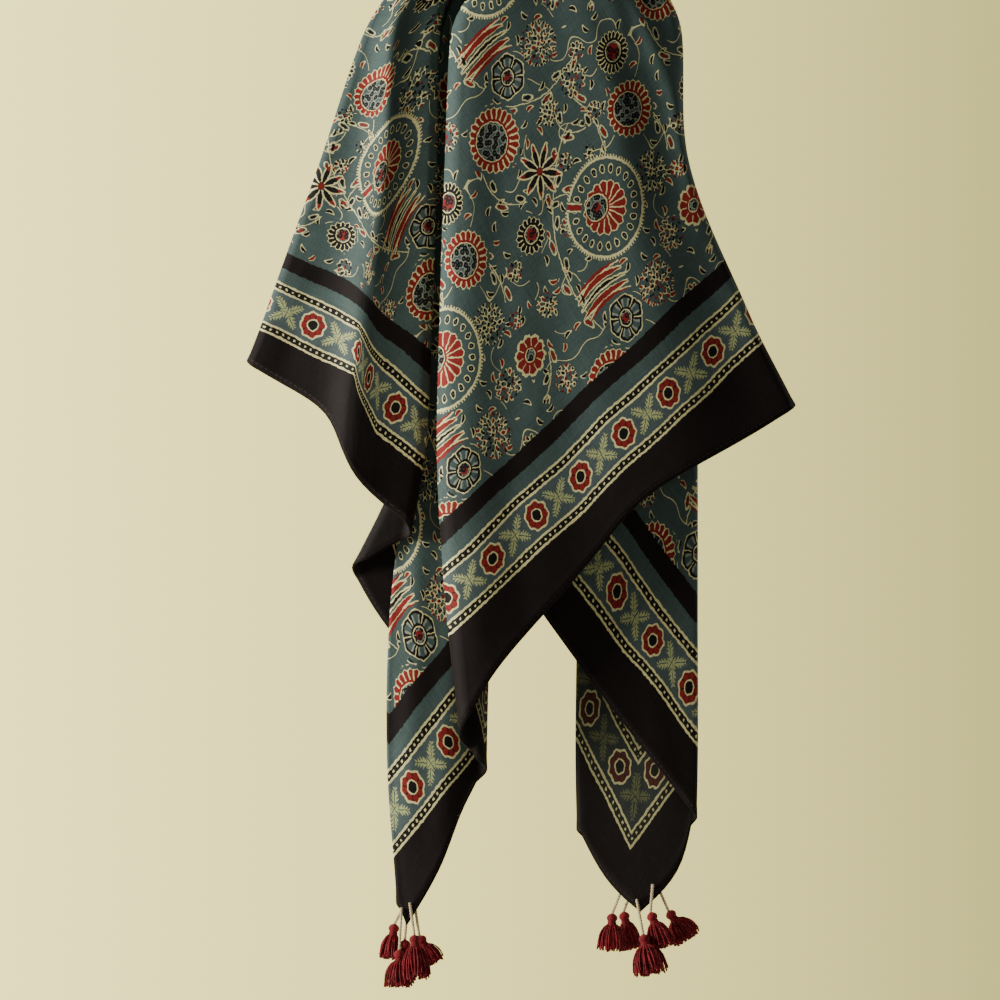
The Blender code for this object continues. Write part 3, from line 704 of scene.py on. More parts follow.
# %% Dotted lines
CREAM_LINE = 0.85  # half the width of a cream line
DOT_PITCH = 5.2
line_cream = None
line_black = None
line_dots = None
for inner_edge in (DARK_HEM, ROSETTE_BAND[1]):
    middle_line = from_hem - (inner_edge + LINE_WIDTH / 2)
    away = abs(middle_line)
    cream_line = near(away, LINE_WIDTH / 2 - CREAM_LINE, CREAM_LINE)
    black_line = away < LINE_WIDTH / 2 - 2 * CREAM_LINE
    dots = near(middle_line, 0.0, 0.8)
    line_cream = cream_line if line_cream is None else line_cream | cream_line
    line_black = black_line if line_black is None else line_black | black_line
    line_dots = dots if line_dots is None else line_dots | dots
dot_here = apart(along_hem * (1 / DOT_PITCH)) * DOT_PITCH < 0.85
line_cream = line_cream | (line_dots & dot_here)

# %% Rosettes and leafy sprigs between the dotted lines
band_middle = sum(ROSETTE_BAND) / 2
rosette_y = from_hem - band_middle
rosette_cell = (along_hem - ROSETTE_PHASE) * (1 / ROSETTE_PITCH)
rosette_x = (sums("FRACT", rosette_cell + 0.5) - 0.5) * ROSETTE_PITCH
rosette_r = sums("SQRT", rosette_x * rosette_x + rosette_y * rosette_y)
petal = apart(share_of_turn(rosette_x, rosette_y) * 8) * 2
ROSETTE_RADIUS = 9.3
rosette_edge = ROSETTE_RADIUS + 1.3 * petal
band_cream = near(rosette_r, rosette_edge, 0.75) | near(rosette_r, 4.3, 0.5)
band_red = (rosette_r < rosette_edge - 0.7) & (rosette_r > 4.8)
band_black = (rosette_r < 3.8) | (band_red & (petal < 0.13))
band_cream = band_cream | near(rosette_r, 0.0, 1.15)

sprig_x = abs((sums("FRACT", rosette_cell) - 0.5) * ROSETTE_PITCH)
sprig_y = abs(rosette_y)
SPRIG_ANGLE = math.radians(42)
SPRIG_LENGTH = 14.5
sprig_along = sprig_x * math.cos(SPRIG_ANGLE) + sprig_y * math.sin(SPRIG_ANGLE)
sprig_across = abs(sprig_y * math.cos(SPRIG_ANGLE) - sprig_x * math.sin(SPRIG_ANGLE))
teeth = apart(sprig_along * 0.36 + sprig_across * -0.3)
leaf_half = sums("SINE", sprig_along * (math.pi / SPRIG_LENGTH)) * 2.1 + teeth * 5.6 - 0.9
sprig = (sprig_across < leaf_half) & (sprig_along < SPRIG_LENGTH)
spine = sprig & (sprig_across < 0.35) & (sprig_along > 3.0)
band = near(from_hem, band_middle, (ROSETTE_BAND[1] - ROSETTE_BAND[0]) / 2)
sprig_ink = sprig & band & (1 - spine)
band_cream = band_cream & band
band_red = band_red & band
band_black = band_black & band
dark_band = (from_hem < DARK_HEM) | near(from_hem, (PLAIN_BAND_END + STRIPE_END) / 2,
                                         (STRIPE_END - PLAIN_BAND_END) / 2)
field = from_hem > STRIPE_END
print("shader nodes so far:", len(silk_tree.nodes))

# %% [markdown]
# ### The field of flowers
#
# Inside the border one block is printed over and over, at a repeat of REPEAT. So every
# motif is drawn once, round its own centre, and a wrap of the coordinates puts it
# in every repeat. The big ring with the fan of petals is at the centre of the repeat, and
# the other motifs are placed from there.

# %% Places in the repeat
REPEAT = (170.0, 196.8)
REPEAT_LEAN = 7.4 / 196.8  # each repeat up the cloth stands this much further right
REPEAT_CENTRE = (-61.5 + 391.6 * REPEAT_LEAN, -391.6)

leant = vectors("MULTIPLY_ADD", vectors("DOT_PRODUCT", printed_at, (0, 1, 0), out="Value"),
                (-REPEAT_LEAN, 0, 0), printed_at)
half_repeat = (REPEAT[0] / 2, REPEAT[1] / 2, 1)


def motif_place(x, y):
    """The place round the nearest copy of a motif, which stands at x, y in the repeat."""
    moved = vectors("SUBTRACT", leant, (REPEAT_CENTRE[0] + x, REPEAT_CENTRE[1] + y, 0))
    return vectors("WRAP", moved, half_repeat, tuple(-h for h in half_repeat))


# %% Round flowers, all drawn by one set of sums
# x, y: the centre in the repeat. outer, inner: the ring of petals. shift: how far the
# inside stands off centre, which makes the ring wider on one side. petals: how many.
# black: 1 where the petals are black. fringe: the width of the cream outline. heart: the
# red middle's radius.
FLOWER_COLUMNS = ("x", "y", "outer", "inner", "shift", "petals", "black", "fringe", "heart")
FLOWER_ROWS = (
    (-2, 1.5, 18.5, 9.6, (-6.2, 4.6), 16, 0, 1.0, 3.6),
    (-58, 97, 21.5, 13.5, (-2.6, 0.6), 24, 0, 0.9, 0.0),
    (50, 45, 19.3, 12.4, (-1.6, 0.4), 22, 0, 0.9, 0.0),
    (62, -42, 12.6, 4.8, (0, 0), 10, 0, 2.2, 0.0),
    (57, 86, 13.8, 7.0, (1.2, 0), 22, 1, 0.8, 5.2),
    (-66, 24, 12.0, 6.2, (1.0, 0), 16, 1, 0.8, 4.4),
    (-26, -71, 15.4, 5.6, (0, 0), 6, 1, 1.0, 3.2),
)
FLOWERS = [dict(zip(FLOWER_COLUMNS, row)) for row in FLOWER_ROWS]
flower_place = sizes = finish = shift = None
taken = None
for flower in FLOWERS:
    here = motif_place(flower["x"], flower["y"])
    inside = length(here) < flower["outer"] + flower["fringe"] + 1.5
    size_row = (flower["outer"], flower["inner"], flower["petals"])
    finish_row = (flower["black"], flower["fringe"], flower["heart"])
    shift_row = (*flower["shift"], 0)
    if flower_place is None:
        crescent_place = here
        flower_place = vectors("MULTIPLY", here, inside)
        sizes = vectors("MULTIPLY", inside, size_row)
        finish = vectors("MULTIPLY", inside, finish_row)
        shift = vectors("MULTIPLY", inside, shift_row)
        taken = inside
    else:
        flower_place = vectors("MULTIPLY_ADD", here, inside, flower_place)
        sizes = vectors("MULTIPLY_ADD", inside, size_row, sizes)
        finish = vectors("MULTIPLY_ADD", inside, finish_row, finish)
        shift = vectors("MULTIPLY_ADD", inside, shift_row, shift)
        taken = taken | inside
print("flowers:", len(FLOWERS), "shader nodes so far:", len(silk_tree.nodes))


def three_parts(vector):
    node = silk_tree.nodes.new("ShaderNodeSeparateXYZ")
    feed(node, [vector])
    return [Wire(node.outputs[k]) for k in range(3)]


# %% The ring of petals, its cream outline and the inside of each flower
outer, inner, petals = three_parts(sizes)
black_petals, fringe, heart = three_parts(finish)
flower_r = length(flower_place)
inside_r = length(vectors("SUBTRACT", flower_place, shift))
turn = share_of_turn(*parts(flower_place))
petal_middle = apart(turn * petals + 0.5)  # 0.5 in a petal's middle and 0 between two
petal_edge = outer + petal_middle * 3.4 - 1.7
spike = apart(turn * petals * 2.0 + flower_r * 0.22)
outline_edge = petal_edge + fringe * (0.55 + 1.1 * spike)
in_ring = (flower_r < petal_edge) & (inside_r > inner)
gap_width = 0.55 + 0.1 * inner  # between two petals
between = petal_middle * 6.283 * flower_r < gap_width * petals * 0.32
petals_shown = in_ring & (1 - (between & (inside_r > inner + 1.6)))
outline = (flower_r < outline_edge) & (flower_r > petal_edge)
inner_line = near(inside_r, inner, 0.75)

cells = silk_tree.nodes.new("ShaderNodeTexVoronoi")
cells.voronoi_dimensions = "2D"
CELL_SIZE = 4.6
cells.inputs["Scale"].default_value = 1 / CELL_SIZE
cells.inputs["Randomness"].default_value = 0.75
feed(cells, [leant])
cell_r = Wire(cells.outputs["Distance"]) * CELL_SIZE
in_heart = inside_r < heart
in_inside = (inside_r < inner - 0.7) & taken
inside_black = in_inside & near(cell_r, 1.3, 0.75)
inside_pale = in_inside & near(cell_r, 2.35, 0.36)

flower_cream = (outline | inner_line | (in_ring & between)) & taken
flower_red = (petals_shown & (1 - black_petals) & taken) | in_heart
flower_black = (petals_shown & black_petals & taken) | inside_black
open_petals = ((petals < 8) & (petals > 3) & in_ring & (petal_middle > 0.19)
               & (inside_r > inner + 1.5) & (flower_r < petal_edge - 2.0))
flower_black = flower_black & (1 - open_petals)
flower_pale = (inside_pale & (1 - in_heart)) | (open_petals & (petal_middle < 0.33))
print("shader nodes so far:", len(silk_tree.nodes))

# %% The big ring of dots round the fan
RING_RADIUS = 33.0
RING_DOTS = 22
DOT_RING_RADIUS = 26.2
LEFT_ON_FRONT = (-0.8, 0.6, 0)  # the way on the flat cloth that is left on the front fold
ring_x, ring_y = parts(crescent_place)
ring_r = length(crescent_place)
ring_turn = share_of_turn(ring_x, ring_y)
to_left = vectors("DOT_PRODUCT", crescent_place, LEFT_ON_FRONT, out="Value")
from_stem = abs(vectors("DOT_PRODUCT", crescent_place, (0.6, 0.8, 0), out="Value"))
barbs = apart(ring_turn * 90)
ring_line = near(ring_r, RING_RADIUS + 0.2, 0.85)
ring_cream = ring_line | (near(ring_r, RING_RADIUS + 1.5, 1.2) & (barbs > 0.27))
dot_x = apart(ring_turn * RING_DOTS) * (2 * math.pi * DOT_RING_RADIUS / RING_DOTS)
dot_y = ring_r - DOT_RING_RADIUS
dot_r = sums("SQRT", dot_x * dot_x * 1.5 + dot_y * dot_y * 0.7)
ring_cream = ring_cream | near(dot_r, 2.3, 0.36)
ring_black = near(dot_r, 1.3, 0.55)
entering = (from_stem < 3.6) & near(to_left, 26.0, 9.5)  # where the stem comes in
stem_rim = near(from_stem, 2.6, 0.5) & near(to_left, 26.0, 8.5)
ring_cream = (ring_cream & (1 - entering)) | stem_rim
ring_red = (from_stem < 1.7) & near(to_left, 25.5, 8.0)
ring_black = ring_black & (1 - entering)
in_big_ring = ring_r < RING_RADIUS + 2.5

# %% Feathered strokes below the ring
stroke_x, stroke_y = parts(motif_place(-34, -42))
bent_y = stroke_y + stroke_x * stroke_x * 0.006
stroke_row = bent_y * (1 / 5.6)
stroke_off = apart(stroke_row) * 5.6
taper = sums("MULTIPLY_ADD", stroke_x * stroke_x, -1 / 23.0**2, 1.0)
red_row = abs(bent_y) > 5.6 / 2 * 1.5
stroke_zone = (abs(bent_y) < 11.2) & (taper > 0.0)
stroke_half = taper * (1.1 + 1.5 * red_row)
stroke_fill = (stroke_off < stroke_half) & stroke_zone
stroke_cream = near(stroke_off, stroke_half + 0.55, 0.55) & stroke_zone
stroke_red = stroke_fill & red_row
stroke_black = stroke_fill & (1 - red_row)
print("shader nodes so far:", len(silk_tree.nodes))

# %% A star flower with long thin petals
star_place = motif_place(-36, 56)
star_x, star_y = parts(star_place)
star_r = length(star_place)
star_off = apart(share_of_turn(star_x, star_y) * 9) * star_r * (2 * math.pi / 9)
star_half = 2.6 * sums("SINE", star_r * (math.pi / 21.0))
in_star = star_r < 20.0
star_fill = (star_off < star_half - 0.6) & in_star
star_cream = near(star_off, star_half, 0.6) & in_star
star_red = (star_fill & (star_r > 14.0)) | (star_r < 3.0)
star_black = star_fill & (star_r < 14.0)

# %% Bunches of small petals, set in rings that radiate
# x, y: the centre in the repeat. radius: the bunch. red: how much of it is red.
BUNCH_ROWS = (
    (8, -68, 15.5, 0.42),
    (44, -2, 14.0, 0.05),
    (19, 90, 12.0, 0.35),
    (-8, 84, 9.5, 0.2),
    (80, -74, 10.0, 0.5),
    (64, -14, 6.0, 0.8),
    (37, -47, 12.0, 0.42),
    (-36, 10, 7.0, 0.3),
    (24, 62, 6.5, 0.25),
    (-78, -22, 9.0, 0.45),
    (-52, -84, 8.0, 0.5),
    (-14, 48, 6.0, 0.5),
    (6, 40, 5.0, 0.0),
    (82, 12, 7.0, 0.3),
    (32, -92, 7.0, 0.5),
)
PETAL_RING = 4.7  # from one ring of petals to the next
bunch_place = in_bunch = bunch_red = None
for x, y, radius, red in BUNCH_ROWS:
    here = motif_place(x, y)
    within = length(here) < radius
    in_bunch = within if in_bunch is None else in_bunch | within
    bunch_red = within * red if bunch_red is None else bunch_red + within * red
    bunch_place = (vectors("MULTIPLY", here, within) if bunch_place is None
                   else vectors("MULTIPLY_ADD", here, within, bunch_place))
bunch_r = length(bunch_place)
petal_ring = sums("FLOOR", bunch_r * (1 / PETAL_RING))
petals_round = petal_ring * 5 + 4
bunch_turn = share_of_turn(*parts(bunch_place)) + petal_ring * 0.07
petal_along = apart(bunch_r * (1 / PETAL_RING) + 0.5)  # 0.5 in a petal's middle
petal_off = apart(bunch_turn * petals_round) * bunch_r * 6.283
petal_off = sums("DIVIDE", petal_off, petals_round)
petal_long = (0.5 - petal_along) * PETAL_RING
petal_r = sums("SQRT", petal_long * petal_long * 0.8 + petal_off * petal_off * 1.5)
tint = noise(leant, 5.0, 0.0)[0]
bunch_fill = (petal_r < 1.45) & in_bunch
bunch_is_red = (tint - 0.25) * 2 < bunch_red
bunch_is_red_fill = bunch_fill & bunch_is_red
bunch_black = bunch_fill & (1 - bunch_is_red)
bunch_cream = near(petal_r, 1.95, 0.4) & in_bunch & (noise(leant, 7.0, 0.0)[0] > 0.42)
print("shader nodes so far:", len(silk_tree.nodes))

# %% Stems that bend through the repeat, with leaves on both sides
# x, y: the stem's middle in the repeat. centre: the bend's centre from there. radius and
# reach: of the bend, and how far the stem goes each way.
STEM_ROWS = (
    (-49, 10, (99, -36), 105.5, 78),
    (20, 40, (-70, 10), 70.0, 40),
    (-10, -98, (10, 60), 62.0, 44),
    (66, 30, (-40, -12), 42.0, 30),
    (-76, 62, (30, 14), 33.0, 26),
    (-20, 26, (-16, -14), 21.0, 24),
    (74, -58, (-26, 12), 28.6, 24),
    (-4, 66, (16, 8), 18.0, 20),
)
STEM_LEAF_REACH = 5.0  # half a leaf's length
STEM_LEAF_HALF = 2.6  # half its width
STEM_LEAF_POINT = 1.6  # 2 would give an oval, less gives pointed ends
STEM_TO_LEAF = 3.6
LEAF_PITCH = 15.0
STEM_HALF_WIDTH = 0.36
stem_cream = stem_red = stem_black = None
for x, y, centre, radius, reach in STEM_ROWS:
    here = vectors("SUBTRACT", motif_place(x, y), (*centre, 0))
    off = length(here) - radius
    start = math.atan2(-centre[1], -centre[0])
    facing = vectors("DOT_PRODUCT", here, (math.sin(start), -math.cos(start), 0), out="Value")
    outward = vectors("DOT_PRODUCT", here, (math.cos(start), math.sin(start), 0), out="Value")
    travel = sums("ARCTAN2", facing, outward) * radius
    on_stem = abs(travel) < reach
    leaf_cell = travel * (1 / LEAF_PITCH)
    leaf_side = (sums("FRACT", leaf_cell * 0.5) > 0.5) * 2 - 1
    leaf_y = off * leaf_side
    leaf_x = (sums("FRACT", leaf_cell) - 0.5) * LEAF_PITCH - leaf_y * 0.8
    leaf_ends = sums("POWER", abs(leaf_x) * (1 / STEM_LEAF_REACH), STEM_LEAF_POINT)
    leaf_sides = sums("POWER", abs(leaf_y - STEM_TO_LEAF) * (1 / STEM_LEAF_HALF), STEM_LEAF_POINT)
    leaf = sums("SQRT", leaf_ends + leaf_sides)
    line = (abs(off) < STEM_HALF_WIDTH) & on_stem
    rim = near(leaf, 0.92, 0.12) & on_stem
    heart_leaf = (leaf < 0.62) & on_stem
    is_red = leaf_side > 0
    stem_cream = (line | rim) if stem_cream is None else stem_cream | line | rim
    red_here, black_here = heart_leaf & is_red, heart_leaf & (1 - is_red)
    stem_red = red_here if stem_red is None else stem_red | red_here
    stem_black = black_here if stem_black is None else stem_black | black_here
print("shader nodes so far:", len(silk_tree.nodes))

# %% Loose leaves and curling tendrils on the ground between
LEAF_SPACING = 12.6
LOOSE_LEAF_REACH = 4.1  # half its length
LOOSE_LEAF_HALF = 1.65  # half its width
ground_place = vectors("MULTIPLY_ADD", fine_waver, (-1.2, -1.2, 0), motif_place(40, 84))
leaf_cells = silk_tree.nodes.new("ShaderNodeTexVoronoi")
leaf_cells.voronoi_dimensions = "2D"
leaf_cells.inputs["Scale"].default_value = 1 / LEAF_SPACING
leaf_cells.inputs["Randomness"].default_value = 0.8
feed(leaf_cells, [ground_place])
leaf_centre = Wire(leaf_cells.outputs["Position"])
from_leaf = vectors("SUBTRACT", ground_place, leaf_centre)
leaf_chance, leaf_tilt = parts(Wire(leaf_cells.outputs["Color"]))
leaf_dx, leaf_dy = parts(from_leaf)
tilt_sin, tilt_cos = sums("SINE", leaf_tilt * 6.283), sums("COSINE", leaf_tilt * 6.283)
leaf_long = leaf_dx * tilt_cos + leaf_dy * tilt_sin
leaf_wide = leaf_dy * tilt_cos - leaf_dx * tilt_sin + leaf_long * leaf_long * 0.10
small_leaf = sums("SQRT", leaf_long * leaf_long * (1 / LOOSE_LEAF_REACH**2)
                  + leaf_wide * leaf_wide * (1 / LOOSE_LEAF_HALF**2))
leaf_shown = leaf_chance < 0.62
loose_rim = near(small_leaf, 0.88, 0.15) & leaf_shown & (leaf_long > -2.4)
loose_fill = (small_leaf < 0.66) & leaf_shown
loose_is_red = leaf_chance < 0.24
TENDRIL_SIZE = 24.0
tendril = near(noise(ground_place, TENDRIL_SIZE, 0.0)[0], 0.5, 0.0085) & (
    noise(ground_place, 31.0, 0.0)[0] > 0.48)
print("shader nodes so far:", len(silk_tree.nodes))

# %% The inks laid over one another
free_of_rounds = 1 - (taken | in_big_ring)
drawn = stem_cream | star_cream | star_fill | in_bunch | stroke_zone
loose = free_of_rounds & (1 - drawn)
small_cream = (stem_cream | star_cream | bunch_cream | stroke_cream) & free_of_rounds
small_red = (stem_red | star_red | bunch_is_red_fill | stroke_red) & free_of_rounds
small_black = (stem_black | star_black | bunch_black | stroke_black) & free_of_rounds
ring_only = in_big_ring & (1 - taken)
small_cream = small_cream | ((loose_rim | tendril) & loose & (1 - loose_fill))
small_red = small_red | (loose_fill & loose_is_red & loose)
small_black = small_black | (loose_fill & (1 - loose_is_red) & loose)
field_cream = small_cream | flower_cream | (ring_cream & ring_only)
field_red = small_red | flower_red | (ring_red & ring_only)
field_black = small_black | flower_black | (ring_black & ring_only)
field_pale = flower_pale
cream_ink = (field_cream & field) | band_cream | line_cream
red_ink = (field_red & field) | band_red
black_ink = (field_black & field) | band_black | (line_black & (1 - line_cream))
pale_ink = field_pale & field
green_ink = sprig_ink
print("shader nodes so far:", len(silk_tree.nodes))

# %% Colours of the dyes
TEAL = (0.060, 0.093, 0.093)
BAND_TEAL = (0.070, 0.098, 0.104)
CREAM = (0.70, 0.65, 0.33)
LEAF_GREEN = (0.40, 0.43, 0.20)
RED = (0.23, 0.016, 0.016)
BLACK = (0.006, 0.005, 0.006)
HEM_BROWN = (0.0075, 0.0040, 0.0044)
PALE = (0.26, 0.29, 0.24)
REVERSE_PAINTED_SHADE = (0.018, 0.018, 0.014)  # painted shade: the reverse face is darkened towards this, for the shade between folded layers


def mixed(factor, first, second):
    node = silk_tree.nodes.new("ShaderNodeMix")
    node.data_type = "RGBA"
    factor_socket, first_socket, second_socket = (node.inputs[k] for k in (0, 6, 7))
    for socket, value in ((factor_socket, factor), (first_socket, first), (second_socket, second)):
        if isinstance(value, Wire):
            silk_tree.links.new(value.socket, socket)
        else:
            socket.default_value = (*value, 1) if isinstance(value, tuple) else value
    return Wire(node.outputs[2])


def cloth_value(name):
    """A number that every point of the cloth carries."""
    node = silk_tree.nodes.new("ShaderNodeAttribute")
    node.attribute_name = name
    return Wire(node.outputs["Fac"])


colour = mixed(band, TEAL, BAND_TEAL)
colour = mixed(pale_ink, colour, PALE)
colour = mixed(cream_ink, colour, CREAM)
colour = mixed(green_ink, colour, LEAF_GREEN)
colour = mixed(red_ink, colour, RED)
colour = mixed(black_ink, colour, BLACK)
colour = mixed(dark_band, colour, HEM_BROWN)
on_reverse = cloth_value("reverse_side")
# Painted shade: the reverse face is darkened strongly on the ground, less on the dark hem and least on the cream
# lines.
colour = mixed(on_reverse * (0.78 - 0.68 * dark_band - 0.4 * cream_ink), colour, REVERSE_PAINTED_SHADE)
print("shader nodes so far:", len(silk_tree.nodes))

# %% Uneven yarns, cloudy dye and a stitched hem
SLUB_LENGTH = 30.0
SLUB_WIDTH = 0.9
across_yarns = noise(vectors("MULTIPLY", place, (1 / SLUB_LENGTH, 1 / SLUB_WIDTH, 1)), 1.0, 2.0)[0]
along_yarns = noise(vectors("MULTIPLY", place, (1 / SLUB_WIDTH, 1 / SLUB_LENGTH, 1)), 1.0, 2.0)[0]
slubs = across_yarns + along_yarns - 1.0
dye_cloud = noise(place, 26.0, 4.0)[0]
dye_grain = noise(place, 1.8, 2.0)[0]
shade = 0.62 + dye_cloud * 0.40 + dye_grain * 0.36 + slubs * 0.45
colour = vectors("SCALE", colour, (0, 0, 0), (0, 0, 0), shade)

HEM_STITCH_FROM_EDGE = 3.6
HEM_STITCH_PITCH = 4.4
HEM_THREAD = (0.035, 0.026, 0.024)
to_cut_edge = cloth_value("to_hem")
stitch = near(to_cut_edge, HEM_STITCH_FROM_EDGE, 0.4) & (
    apart(cloth_value("hem_place") * (1 / HEM_STITCH_PITCH)) * HEM_STITCH_PITCH < 1.3)
colour = mixed(stitch, colour, HEM_THREAD)
silk_tree.links.new(colour.socket, silk_shader.inputs["Base Color"])

# %% Weave, crumples and gloss
YARN_PITCH = 0.46
YARN_HEIGHT = 0.018
SLUB_HEIGHT = 0.16
STITCH_DEPTH = 0.25
STITCH_GROOVE_DEPTH = 0.08
RUMPLE_SIZE = 21.0
RUMPLE_HEIGHT = 0.55
rumple = noise(place, RUMPLE_SIZE, 3.0)[0] * RUMPLE_HEIGHT
weave_u, weave_v = parts(place)
YARN_TURN = 2 * math.pi / YARN_PITCH
weave = (sums("SINE", weave_u * YARN_TURN) + sums("SINE", weave_v * YARN_TURN)) * YARN_HEIGHT
stitch_groove = near(to_cut_edge, HEM_STITCH_FROM_EDGE, 0.6)
height = (rumple + weave + slubs * SLUB_HEIGHT - stitch * STITCH_DEPTH
          - stitch_groove * STITCH_GROOVE_DEPTH)
bump = silk_tree.nodes.new("ShaderNodeBump")
bump.inputs["Strength"].default_value = 0.85
bump.inputs["Distance"].default_value = MM
silk_tree.links.new(height.socket, bump.inputs["Height"])
silk_tree.links.new(bump.outputs["Normal"], silk_shader.inputs["Normal"])
gloss = 0.56 + dye_cloud * 0.10 + slubs * 0.10 + dark_band * 0.04 + cream_ink * 0.04
silk_tree.links.new(gloss.socket, silk_shader.inputs["Roughness"])
silk_shader.inputs["Specular IOR Level"].default_value = 0.14
silk_shader.inputs["Sheen Weight"].default_value = 0.05
silk_shader.inputs["Sheen Roughness"].default_value = 0.45
cloth_mesh.materials.append(silk)
print("shader nodes in the printed silk:", len(silk_tree.nodes))

# %% [markdown]
# ## The tassels
#
# Each tasselled corner carries five small tassels. A real one is a bundle of yarn bent
# over its cord, wound round below the bend so that a round head stands above the neck,
# and trimmed at the foot. A cone with a bump texture would do from far off; here every
# strand is its own thin tube, so the skirt keeps its uneven, fluffy outline from near by.

# %% Where the tassels hang
TASSEL_COLUMNS = ("name", "side", "cord_top", "head", "foot", "half_width")
# side: the face of the cloth the cord is sewn to. cord_top, head, foot: places in mm.
TASSEL_ROWS = (
    ("a1", "back", (-94.0, -938), (-100.6, 10, -948), (-104.8, 8, -976), 6.8),
    ("a2", "front", (-94.7, -944), (-96.4, -6, -967), (-97, -10, -996), 10.5),
    ("a3", "front", (-88.0, -933), (-84.4, -8, -955), (-82, -22, -988), 9.2),
    ("a4", "back", (-84.0, -936), (-80.8, 4, -957), (-68.8, 2, -979), 7.5),
    ("a5", "back", (-90.4, -941), (-92.4, 10, -961), (-91.2, 15, -988), 8.0),
    ("b1", "back", (82.8, -921), (74.2, 13, -940), (73.2, 13, -970), 9.2),
    ("b2", "back", (88.0, -928), (83.4, 24, -940), (90.4, 26, -970), 8.0),
    ("b3", "front", (93.6, -931), (98.4, -3, -955), (104.8, -13, -986), 12.5),
    ("b4", "front", (106.4, -919), (104.4, 2, -938), (115.2, 0, -966), 9.0),
    ("b5", "back", (110.6, -921), (119.2, 13, -938), (135.2, 13, -961), 10.4),
)
TASSELS = [dict(zip(TASSEL_COLUMNS, row)) for row in TASSEL_ROWS]


def tassel_frame(row):
    """The head's top, and the directions along, across and into a tassel."""
    head = Vector(row["head"])
    foot = Vector(row["foot"])
    down = (foot - head).normalized()
    across = Vector((0, 1, 0)).cross(down).normalized()
    return head, down, across, down.cross(across), (foot - head).length


print("tassels:", len(TASSELS))

# %% A thin tube through a row of points
def tube(centres, radii, sides, twist=0.0):
    """Points and faces of a closed tube; twist turns its ring a little at each step."""
    made, sheets = [], []
    for k, centre in enumerate(centres):
        ahead = centres[min(k + 1, len(centres) - 1)]
        behind = centres[max(k - 1, 0)]
        along_it = (ahead - behind).normalized()
        level = Vector((0, 1, 0)) if abs(along_it.y) < 0.9 else Vector((1, 0, 0))
        across = along_it.cross(level).normalized()
        up = across.cross(along_it)
        for n in range(sides):
            turn = 2 * math.pi * n / sides + twist * k
            made.append(centre + (across * math.cos(turn) + up * math.sin(turn)) * radii[k])
    for k in range(len(centres) - 1):
        for n in range(sides):
            m = (n + 1) % sides
            low, high = k * sides, (k + 1) * sides
            sheets.append((low + n, low + m, high + m, high + n))
    sheets.append(tuple(reversed(range(sides))))
    sheets.append(tuple(range((len(centres) - 1) * sides, len(centres) * sides)))
    return made, sheets


def add_part(made, sheets, more):
    """Adds one part's points and faces to a piece's lists."""
    start = len(made)
    made += more[0]
    sheets += [tuple(i + start for i in sheet) for sheet in more[1]]


def make_piece(name, made, sheets, node):
    """A mesh object that stands for one node of the CAD model."""
    mesh = bpy.data.meshes.new(name)
    mesh.from_pydata([Vector(p) * MM for p in made], [], sheets)
    mesh.shade_smooth()
    shell = bmesh.new()
    shell.from_mesh(mesh)
    bmesh.ops.recalc_face_normals(shell, faces=shell.faces)
    shell.to_mesh(mesh)
    shell.free()
    piece = bpy.data.objects.new(name, mesh)
    bpy.context.scene.collection.objects.link(piece)
    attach(piece, "root")
    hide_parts(node)
    return piece


# %% Skirts of yarn
SKIRT_STRANDS = 120
STRAND_SIDES = 4
STRAND_STEPS = 6
STRAND_ROOT = 8.2  # below the head's top
ROOT_RADIUS = 0.42
FOOT_RADIUS = 0.72
NECK_HALF_WIDTH = 2.7
SKIRT_DEPTH_SHARE = 0.6  # a skirt's half depth, as a share of its half width
GOLDEN_TURN = math.radians(137.508)  # spreads the strands evenly over the neck
FLUFF = 1.1


def skirt_strands(row, chance):
    head, down, across, deep, length = tassel_frame(row)
    half_width = row["half_width"] + 1.4
    half_depth = max(4.4, row["half_width"] * SKIRT_DEPTH_SHARE)
    made, sheets = [], []
    for n in range(SKIRT_STRANDS):
        out = math.sqrt((n + 0.5) / SKIRT_STRANDS)
        turn = n * GOLDEN_TURN
        right, back = out * math.cos(turn), out * math.sin(turn)
        reach = (length - STRAND_ROOT) * chance.uniform(0.82, 1.04)
        root = head + down * STRAND_ROOT
        sway = [chance.uniform(-FLUFF, FLUFF) for _ in range(4)]
        centres, radii = [], []
        for k in range(STRAND_STEPS + 1):
            t = k / STRAND_STEPS
            bell = math.sin(t * math.pi / 2) ** 0.55
            wide = NECK_HALF_WIDTH + (half_width - NECK_HALF_WIDTH) * bell
            thick = NECK_HALF_WIDTH + (half_depth - NECK_HALF_WIDTH) * bell
            wave = math.sin(math.pi * t) * sway[2]
            point = root + down * reach * t
            point = point + across * (right * wide + sway[0] * t + wave)
            point = point + deep * (back * thick + sway[1] * t + wave * sway[3])
            centres.append(point)
            radii.append(ROOT_RADIUS + (FOOT_RADIUS - ROOT_RADIUS) * bell)
        add_part(made, sheets, tube(centres, radii, STRAND_SIDES, twist=0.5))
    return made, sheets


strand_triangles = STRAND_STEPS * STRAND_SIDES * 2 + 2 * (STRAND_SIDES - 2)
print("triangles in a skirt:", SKIRT_STRANDS * strand_triangles)

# %% Round heads with a wound neck
HEAD_PROFILE = ((0.3, 1.4), (1.2, 3.0), (2.6, 4.1), (4.0, 4.4), (5.4, 4.0), (6.6, 3.1), (7.4, 2.7))
HEAD_RIBS = 22
RIB_DEPTH = 0.22
NECK_TURNS = 4
NECK_YARN = 0.42


